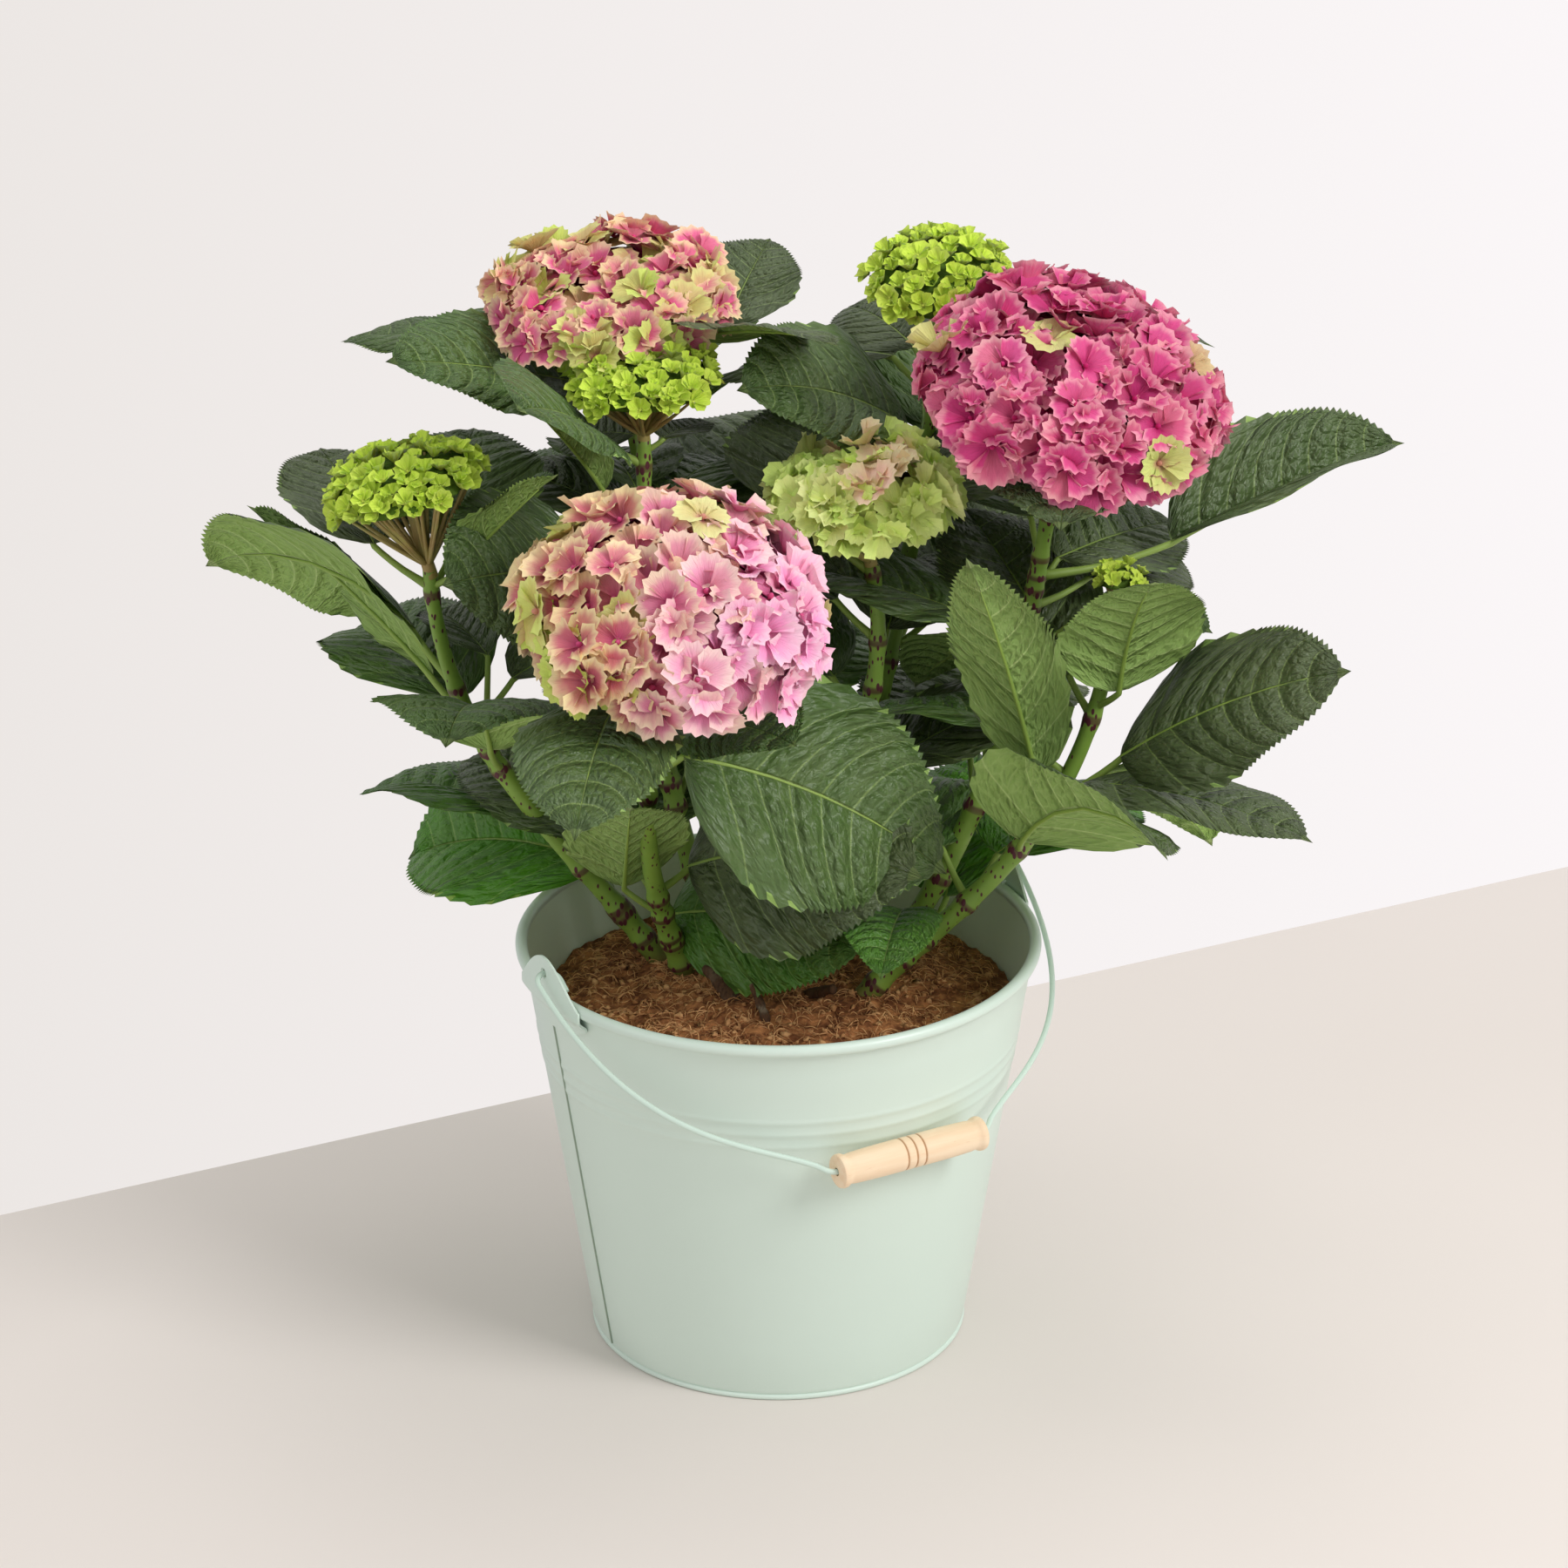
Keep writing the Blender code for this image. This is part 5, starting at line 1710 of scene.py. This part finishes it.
    def stem(self, name: str, shoot: Shoot, cane: Material) -> None:
        """Model one shoot's stem, thicker at each of its nodes and woody at its foot.

        Args:
            name: The shoot's name.
            shoot: The shoot.
            cane: The stem's finish.
        """
        places = sorted({round(leaf.at, 2) for leaf in self.leaves[name]})
        nodes = [place for k, place in enumerate(places)
                 if k == 0 or place - places[k - 1] > 0.03]
        nodes += [0.07, 0.16]
        t = np.linspace(0, 1, 110)
        path = bezier(shoot.path, t)
        length = np.linalg.norm(np.diff(path, axis=0), axis=1).sum()
        near = np.zeros_like(t)
        for place in nodes:
            near = np.maximum(near, np.exp(-(((t - place) * length) / 0.0045) ** 2))
        radii = (self.foot_thick + (self.tip_thick - self.foot_thick) * t) * (1 + 0.24 * near)
        sides = 16
        limb = tube(path, radii, sides)
        sheaf = Sheaf()
        close = np.concatenate([np.repeat(near, sides), [0, 0]])
        woody = np.repeat(np.clip(1 - (path[:, 2] - GROUND) / 0.014, 0, 1), sides)
        sheaf.add(limb, node=close, tint=np.concatenate([woody, [1, 0]]))
        hand_over(sheaf.build("stem_" + name, cane), "pot", "green_stem", "cane_" + name)


# ---- flower heads
@dataclass
class FlowerHeads:
    """The mophead flower heads: branches, buds inside, and florets of four broad sepals."""

    spread: float = 60.0
    rings: int = 3
    cells: int = 12
    thickness: float = 0.00028
    heavy: float = 0.07
    lean: float = 6.0
    underside: float = 0.45

    def frame(self, head: Head, tip: Array) -> Matrix:
        """The place of a head's dome.

        Args:
            head: The head.
            tip: The tip of its stem.

        Returns:
            Moves the origin to the dome's centre and turns Z to point there from the stem's
            tip. A head that is wide enough to be heavy leans to the right as well.
        """
        turn = aimed(Vector(), (Vector(head.centre) - Vector(tip)).normalized())
        lean = Matrix.Rotation(math.radians(self.lean if head.radius > self.heavy else 0), 4, "Y")
        return Matrix.Translation(head.centre) @ lean @ turn

    def on_dome(self, head: Head, down: float, spin: float, sink: float) -> Vector:
        """A point on a dome, whose underside is flatter than its top.

        Args:
            head: The head.
            down: How far down from the crown the point is, in degrees.
            spin: Its heading round the dome, in radians.
            sink: How deep it is sunk.

        Returns:
            The point, in the dome's own frame.
        """
        height = head.height * (1 if down <= 90 else self.underside)
        a = math.radians(down)
        return Vector(((head.radius - sink) * math.sin(a) * math.cos(spin),
                       (head.radius - sink) * math.sin(a) * math.sin(spin),
                       (height - sink) * math.cos(a)))

    def sepal(self, size: float, place: Matrix, spin: float, lift: float, cup: float,
              rng: random.Random, rings: int, cells: int) -> Shape:
        """One broad sepal with a toothed edge, as a fan from the floret's heart.

        Args:
            size: Its reach from the heart.
            place: The floret's own frame.
            spin: Its heading in that frame, in radians.
            lift: How steeply it stands from the heart.
            cup: How far it curls back down towards its edge.
            rng: The source of its scatter.
            rings: Its rows from heart to edge.
            cells: Its cells across.

        Returns:
            The sepal.
        """
        t = np.linspace(0.24, 1, rings)
        phi = np.linspace(-1, 1, cells + 1)
        t, phi = np.meshgrid(t, phi, indexing="ij")
        edge = 1 - 0.34 * np.abs(phi) ** 3.4
        teeth = np.where(np.arange(cells + 1) % 2 == 0, 1.0, -1.0)
        edge = edge + np.where(np.abs(phi) < 0.99, 0.06, 0) * teeth * (t > 0.99)
        edge = edge * (1 + 0.05 * np.exp(-(phi / 0.2) ** 2) * rng.uniform(-0.4, 1.0))
        radius = size * t * edge
        angle = np.radians(self.spread) * phi * (0.84 + 0.16 * t)
        wave = rng.uniform(0, 6.28)
        crimp = rng.uniform(0.02, 0.085)
        rise = size * (lift * t ** 1.35 - cup * np.clip(t - 0.55, 0, 1) ** 1.5)
        rise = rise + size * crimp * np.sin(phi * 4.6 + wave) * t ** 2
        rise = rise + size * rng.uniform(0.02, 0.26) * np.abs(phi) ** 1.5 * t
        tilt = rng.uniform(-0.22, 0.22)
        x, y = radius * np.cos(angle), radius * np.sin(angle)
        shrink = 1 / np.sqrt(1 + (lift * 0.75) ** 2)
        x, y = x * shrink, y * (0.5 + 0.5 * shrink)
        rise = rise + y * tilt
        turn = place @ Matrix.Rotation(spin, 4, "Z")
        spot = np.array(turn)
        top = np.stack([x, y, rise], -1) @ spot[:3, :3].T + spot[:3, 3]
        under = top - spot[:3, 2] * self.thickness
        return skin(top, under, spot[:3, 3], None, along=(t, np.zeros(1)),
                    across=(phi, np.zeros(1)))

    def floret(self, sheaf: Sheaf, place: Matrix, size: float, rng: random.Random,
               traits: dict[str, float], fine: bool) -> None:
        """Add a floret of four sepals, the inner pair over the outer pair, and its bead.

        Args:
            sheaf: Where it goes.
            place: Its own frame.
            size: Its reach from its heart.
            rng: The source of its scatter.
            traits: Its tint, green, blush and youth.
            fine: Whether its sepals are detailed, as on a large head.
        """
        spin = rng.uniform(0, math.tau)
        young = traits["youth"]
        base_lift = rng.uniform(0.26, 0.66) + 0.5 * young
        for k in range(4):
            inner = k % 2
            share = rng.uniform(0.90, 1.06) * (0.93 if inner else 1.0)
            lifted = place @ Matrix.Translation((0, 0, size * (0.055 if inner else 0.0)))
            shape = self.sepal(size * share, lifted, spin + k * math.pi / 2
                               + rng.uniform(-0.14, 0.14), base_lift + rng.uniform(-0.14, 0.14),
                               rng.uniform(0.1, 0.9) * (1 - young * 0.7), rng,
                               self.rings - (not fine), self.cells // (1 if fine else 2))
            sheaf.add(shape, tint=traits["tint"], blush=traits["blush"],
                      green=min(1.0, max(0.0, traits["green"] + rng.uniform(-0.12, 0.12))))
        spot = np.array(place)
        out, foot = spot[:3, 2], spot[:3, 3]
        bead = size * 0.085
        path = foot + np.outer([0.2, 0.9, 1.6, 2.3, 2.7], out) * bead
        shape = tube(path, np.array([0.5, 0.95, 1.05, 0.75, 0.25]) * bead, 6)
        sheaf.add(shape, tint=0.2, blush=traits["blush"], green=traits["green"], along=0.1,
                  across=0.0)

    def build(self, coats: dict[str, Material], core: Material, branch: Material) -> None:
        """Model every head.

        Args:
            coats: The finish of each head's florets, by the head's name.
            core: The finish of the buds inside, dark as painted shade between the florets.
            branch: The finish of the branches that carry the florets.
        """
        rng = random.Random(41)
        branches, hearts = Sheaf(), Sheaf()
        for name, head in HEADS.items():
            tip = bezier(SHOOTS[name].path, 1.0)
            sheaf = Sheaf()
            self.head(sheaf, branches, head, tip, name, rng)
            self.heart(hearts, head, tip)
            hand_over(sheaf.build("florets_" + name, coats[name]), "pot",
                      PETAL_SLOTS.get(name, "lime_petal"), "bloom_" + name)
        hand_over(branches.build("flower_branches", branch), "pot", "green_stem")
        hand_over(hearts.build("flower_hearts", core), "pot", "green_stem")

    def head(self, sheaf: Sheaf, branches: Sheaf, head: Head, tip: Array, name: str,
             rng: random.Random) -> None:
        """Set a head's florets on its dome and branch up to them.

        Args:
            sheaf: Where the florets go.
            branches: Where the branches go.
            head: The head.
            tip: The tip of its stem.
            name: Its name.
            rng: Where the scatter comes from.
        """
        base = Vector(tip)
        axis = (Vector(head.centre) - base).normalized()
        place = self.frame(head, tip)
        turn = place.to_3x3()
        golden = math.pi * (3 - math.sqrt(5))
        floor = math.cos(math.radians(head.reach))
        green = head.bloom is Bloom.GREEN
        for i in range(head.florets):
            share = (i + 0.5) / head.florets
            down = math.degrees(math.acos(1 - (1 - floor) * share))
            spin = i * golden + rng.uniform(-0.15, 0.15)
            sink = head.floret * rng.uniform(0.35, 1.0)
            point = place @ self.on_dome(head, down, spin, sink)
            a = math.radians(down)
            lean = Vector((math.sin(a) * math.cos(spin) / head.radius,
                           math.sin(a) * math.sin(spin) / head.radius,
                           math.cos(a) / head.height)).normalized()
            wander = Vector((rng.gauss(0, 1), rng.gauss(0, 1), rng.gauss(0, 1)))
            upwards = Vector((0, 0, 0.6 if green else 0.22))
            lean = (turn @ (lean + upwards) + wander * (0.2 if green else 0.27)).normalized()
            spot = aimed(point, lean)
            traits = self.traits(name, head, point, share, rng)
            size = head.floret * rng.uniform(0.86, 1.12) * (1 - 0.25 * traits["youth"])
            self.floret(sheaf, spot, size, rng, traits, not green)
            if i % (3 if green else 4) == 0:
                foot = base + axis * 0.002
                end = point - lean * head.floret * 0.1
                bend = foot.lerp(end, 0.5) - axis * head.radius * 0.05
                corners = (foot, foot.lerp(bend, 0.7), bend.lerp(end, 0.4), end)
                path = bezier(corners, np.linspace(0, 1, 7))
                radii = np.linspace(0.0017, 0.0008, 7) * (0.8 if green else 1.0)
                branches.add(tube(path, radii, 6), node=0.0, tint=0.0)
        foot = base - axis * 0.004
        inside = base.lerp(Vector(head.centre), 0.7)
        path = bezier((foot, foot.lerp(inside, 0.3), foot.lerp(inside, 0.7), inside),
                      np.linspace(0, 1, 6))
        branches.add(tube(path, np.linspace(0.0034, 0.0026, 6), 12), node=0.0, tint=0.0)

    @staticmethod
    def traits(name: str, head: Head, point: Vector, share: float,
               rng: random.Random) -> dict[str, float]:
        """How green, how bright and how young a floret is, by its place on its head.

        Args:
            name: The head's name.
            head: The head.
            point: Where the floret stands.
            share: Its place from the crown, 0, to the skirt, 1.
            rng: Where the spread comes from.

        Returns:
            The traits: tint, green, blush and youth, each from 0 to 1.
        """
        tint = rng.random()
        right = (point.x - head.centre[0]) / head.radius
        low = (head.centre[2] - point.z) / head.height
        green, blush, youth = 0.0, rng.uniform(0, 0.3), 0.0
        if name == "front":
            blush = min(1, max(0, 0.30 + 0.95 * right + rng.uniform(-0.3, 0.3)))
            lime = -0.60 * right + 0.45 * low + rng.uniform(-0.45, 0.35)
            green = 1.0 if lime > 0.55 else (0.7 if rng.random() < 0.09 else 0.0)
        elif name == "tall_right":
            blush = rng.uniform(0, 1)
            green = rng.uniform(0.4, 0.9) if rng.random() < 0.06 else 0.0
        elif name == "back_left":
            blush = rng.uniform(0, 0.5)
            green = rng.uniform(0.4, 1.0) if rng.random() < 0.28 else 0.1 * rng.random()
        elif name == "middle":
            youth = rng.uniform(0.0, 0.4)
            crown = low + rng.uniform(-0.3, 0.3) < -0.62
            green = rng.uniform(0.0, 0.25) if crown else rng.uniform(0.35, 1.0)
            blush = rng.uniform(0.5, 1.0) if crown else rng.uniform(0.0, 0.3)
        else:
            youth = rng.uniform(0.3, 0.9)
            green = rng.uniform(0.75, 1.0)
        return {"tint": tint, "green": green, "blush": blush, "youth": youth}

    def heart(self, hearts: Sheaf, head: Head, tip: Array) -> None:
        """Add a head's crowded inside: a knobbly dome of closed buds behind its florets.

        Args:
            hearts: Where it goes.
            head: The head.
            tip: The tip of its stem.
        """
        place = self.frame(head, tip)
        rows, columns = 22, 40
        sink = head.floret * (0.7 if head.bloom is Bloom.GREEN else 1.05)
        points = []
        for r in range(1, rows):
            down = 150 * r / rows
            for c in range(columns):
                spin = math.tau * c / columns
                point = self.on_dome(head, down, spin, sink)
                bump = noise.noise(point * 260) * 0.004
                points.append(place @ (point * (1 + bump / head.radius)))
        points += [place @ self.on_dome(head, down, 0, sink) for down in (0, 180)]
        points = np.array([tuple(p) for p in points])
        quads, tris = closed_faces(rows - 1, columns, 0, len(points) - 2, len(points) - 1)
        spots = (points[:, :2] - points[:, :2].min(0)) / np.ptp(points[:, :2], axis=0).max()
        green = {Bloom.GREEN: 1.0, Bloom.OPENING: 0.5, Bloom.FULL: 0.0}[head.bloom]
        # The dome's dark colour is partly painted shade, seen through the gaps between the florets.
        hearts.add(Shape(points, [(quads[:, ::-1], tris[:, ::-1], spots)]), green=green)


@dataclass(frozen=True)
class BudMass:
    """Stalks and closed buds inside a head, in dark colours that are partly painted shade."""

    name: str = "bud_mass_painted_shade"
    # Deep rose and dark lime: the buds' own colours, kept dark as painted shade between the
    # florets.
    rose: Colour = srgb(150, 48, 84)
    lime: Colour = srgb(88, 118, 36)

    def make(self) -> Material:
        """Build the material.

        Returns:
            The material.
        """
        recipe = Recipe(self.name, Specular_IOR_Level=0.2)
        place = recipe.place()
        cells = recipe.cells(place, 260.0)
        cloud = recipe.speckle(place, 120.0, 3.0)
        colour = recipe.mix(recipe.trait("green"), self.rose, self.lime)
        colour = recipe.shade(colour, 0.5 + 0.8 * cloud)
        return recipe.finish(colour, 0.7 + 0.2 * cells, cells * -1.0, 0.002)


# ---- studio
@dataclass
class Studio:
    """The pale floor, the pale surround, soft lights and the camera."""

    boundary: tuple[tuple[float, float], tuple[float, float]] = ((-0.409, 0.101), (0.471, 0.545))
    floor_half: float = 9.0
    floor_deep: float = 12.0
    camera_at: Point = (0.00274, -2.53614, 1.39488)
    pitch: float = 66.4794
    lens: float = 130.0
    sensor: float = 36.0
    # The wall that the camera sees is painted darker on the left and lighter on the right: painted
    # shade and painted light.
    wall_shaded_left: Colour = srgb(236, 231, 228)
    wall_lit_right: Colour = srgb(251, 247, 248)
    wall_blend: float = 0.14
    glow: float = 0.60

    def build(self) -> None:
        """Set up everything round the plant."""
        scene = bpy.context.scene
        scene.view_settings.view_transform = "Standard"
        scene.view_settings.look = "None"
        self.floor()
        self.surround()
        self.lamp("key", (1.9, -1.3, 2.05), 1.1, 47.0, (1.0, 0.99, 0.985))
        self.lamp("fill", (-1.9, -1.3, 1.5), 2.0, 7.0, (0.965, 0.98, 1.0))
        self.lamp("top", (0.1, 0.6, 2.5), 1.6, 15.0, (1.0, 0.99, 0.97))
        data = bpy.data.cameras.new("camera")
        data.lens, data.sensor_width, data.sensor_height = self.lens, self.sensor, self.sensor
        data.clip_start, data.clip_end = 0.05, 50.0
        camera = in_scene("camera", data)
        camera.location = self.camera_at
        camera.rotation_euler = (math.radians(self.pitch), 0.0, 0.0)
        scene.camera = camera

    def floor(self) -> None:
        """A floor that ends in a straight line behind the plant."""
        (ax, ay), (bx, by) = self.boundary
        ahead = Vector((bx - ax, by - ay)).normalized()
        middle = Vector(((ax + bx) / 2, (ay + by) / 2))
        front = Vector((ahead.y, -ahead.x)) * self.floor_deep
        left, right = middle - ahead * self.floor_half, middle + ahead * self.floor_half
        corners = (left, right, right + front, left + front)
        mesh = bpy.data.meshes.new("floor")
        mesh.from_pydata([(c.x, c.y, 0.0) for c in corners], [], [(3, 2, 1, 0)])
        mesh.update()
        floor = in_scene("floor", mesh)
        recipe = Recipe("pale_floor", Specular_IOR_Level=0.25)
        cloud = recipe.speckle(recipe.place(), 2.5, 2.0)
        colour = recipe.mix(cloud, srgb(228, 220, 215), srgb(223, 215, 209))
        mesh.materials.append(recipe.finish(colour, 0.55 + 0.1 * cloud))
        if mesh.polygons[0].normal.z < 0:
            mesh.flip_normals()

    def surround(self) -> None:
        """A pale world that the camera sees as a wall and the plant is lit by."""
        world = bpy.data.worlds.new("surround")
        bpy.context.scene.world = world
        world.use_nodes = True
        nodes = Nodes(world.node_tree)
        nodes.tree.nodes.clear()
        place = nodes.node("ShaderNodeTexCoord", output="Generated")
        ahead = nodes.node("ShaderNodeSeparateXYZ", None, {0: place}, "X")
        share = nodes.node("ShaderNodeMapRange", None, {
            "Value": ahead, "From Min": -self.wall_blend, "From Max": self.wall_blend})
        # The camera's wall grades from painted shade on the left to painted light on the right.
        seen = nodes.node("ShaderNodeBackground", None, {
            "Color": nodes.mix(share, self.wall_shaded_left, self.wall_lit_right)})
        lit = nodes.node("ShaderNodeBackground", None, {
            "Color": (1.0, 0.99, 0.98), "Strength": self.glow})
        rays = nodes.node("ShaderNodeLightPath", output="Is Camera Ray")
        pick = nodes.node("ShaderNodeMixShader", None, {0: rays, 1: lit, 2: seen})
        nodes.put(nodes.tree.nodes.new("ShaderNodeOutputWorld").inputs["Surface"], pick)

    @staticmethod
    def lamp(name: str, place: Point, size: float, power: float, colour: Colour) -> None:
        """Add a soft square lamp that faces the plant.

        Args:
            name: Its name.
            place: Where it hangs.
            size: The length of its side.
            power: Its power in watts.
            colour: Its colour.
        """
        data = bpy.data.lights.new(name, "AREA")
        data.size, data.energy, data.color = size, power, colour
        lamp = in_scene(name, data)
        lamp.location = place
        aim = Vector((0.0, 0.0, 0.3)) - Vector(place)
        lamp.rotation_euler = aim.to_track_quat("-Z", "Y").to_euler()


# ---- the plant
def tree_of(*nodes: str) -> list[BVHTree]:
    """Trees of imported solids, to keep foliage clear of them.

    Args:
        *nodes: The solids' names.

    Returns:
        A tree for each.
    """
    trees = []
    for node in nodes:
        mesh = bpy.data.objects[node].data
        trees.append(BVHTree.FromPolygons([v.co[:] for v in mesh.vertices],
                                          [p.vertices[:] for p in mesh.polygons]))
    return trees


def main() -> None:
    """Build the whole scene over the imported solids."""
    logging.basicConfig(level=logging.INFO, format="%(message)s", stream=sys.stdout)
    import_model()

    mint = Paint("mint_paint", srgb(213, 230, 219)).make()
    pail = Pail()
    # The inner wall's paint is a lighter copy of the mint: painted light for the shaded inside.
    pail.build(mint, Paint("mint_paint_inside_painted_light", srgb(224, 240, 220), 0.5).make())
    Ears(pail).build(mint)
    log.info("pail and ears")
    Bail().build(Paint("mint_wire", srgb(208, 228, 216), 0.35).make(), Beech().make())
    log.info("bail and grip")
    Soil(pail).build(Peat("peat", srgb(110, 64, 36), srgb(200, 136, 86)).make(),
                     Peat("peat_fibre", srgb(158, 104, 62), srgb(222, 174, 122)).make(),
                     Bark().make())
    log.info("soil and old wood")
    foliage = Foliage()
    foliage.plan(tree_of("pail", "ear_left", "ear_right", "bail_wire", "grip"))
    skins = (Blade("leaf_top", Side.TOP, srgb(74, 138, 16), srgb(76, 90, 56), srgb(96, 112, 64),
                   srgb(162, 186, 110)).make(),
             Blade("leaf_underside", Side.UNDER, srgb(146, 182, 84), srgb(138, 168, 92),
                   srgb(150, 180, 96), srgb(196, 216, 146)).make())
    foliage.build(skins, CaneSkin("green_cane").make(),
                  CaneSkin("leaf_stalk", srgb(150, 176, 84), srgb(124, 152, 62),
                           flecked=0.0).make())
    log.info("foliage: %d leaves", sum(map(len, foliage.leaves.values())))
    pink = Sepal("pink_sepals", srgb(188, 26, 104), srgb(204, 62, 126), srgb(226, 142, 160),
                 srgb(206, 214, 126), srgb(220, 86, 144), srgb(236, 156, 176), 0.78)
    salmon = Sepal("salmon_sepals", srgb(206, 78, 130), srgb(208, 112, 126),
                   srgb(244, 220, 170), srgb(214, 232, 112), srgb(255, 168, 214),
                   srgb(255, 206, 228), 0.58)
    dusty = Sepal("dusty_sepals", srgb(212, 50, 120), srgb(222, 106, 146), srgb(242, 214, 168),
                  srgb(206, 226, 110), srgb(230, 92, 154), srgb(240, 178, 166))
    cream = Sepal("cream_sepals", srgb(240, 232, 140), srgb(246, 250, 170), srgb(250, 252, 184),
                  srgb(228, 252, 136), srgb(252, 204, 196), srgb(252, 222, 190))
    lime = Sepal("lime_sepals", srgb(228, 228, 118), srgb(224, 240, 104), srgb(238, 250, 126),
                 srgb(206, 232, 76), srgb(240, 220, 146), srgb(238, 238, 144))
    coats = dict.fromkeys(("left", "right", "mid_left", "back_right"), lime.make())
    coats.update(front=salmon.make(), tall_right=pink.make(), middle=cream.make(),
                 back_left=dusty.make())
    FlowerHeads().build(coats, BudMass().make(),
                        CaneSkin("flower_branch", srgb(168, 176, 96), srgb(170, 120, 84),
                                 flecked=0.0).make())
    log.info("flower heads")
    Studio().build()


if __name__ == "__main__":
    main()
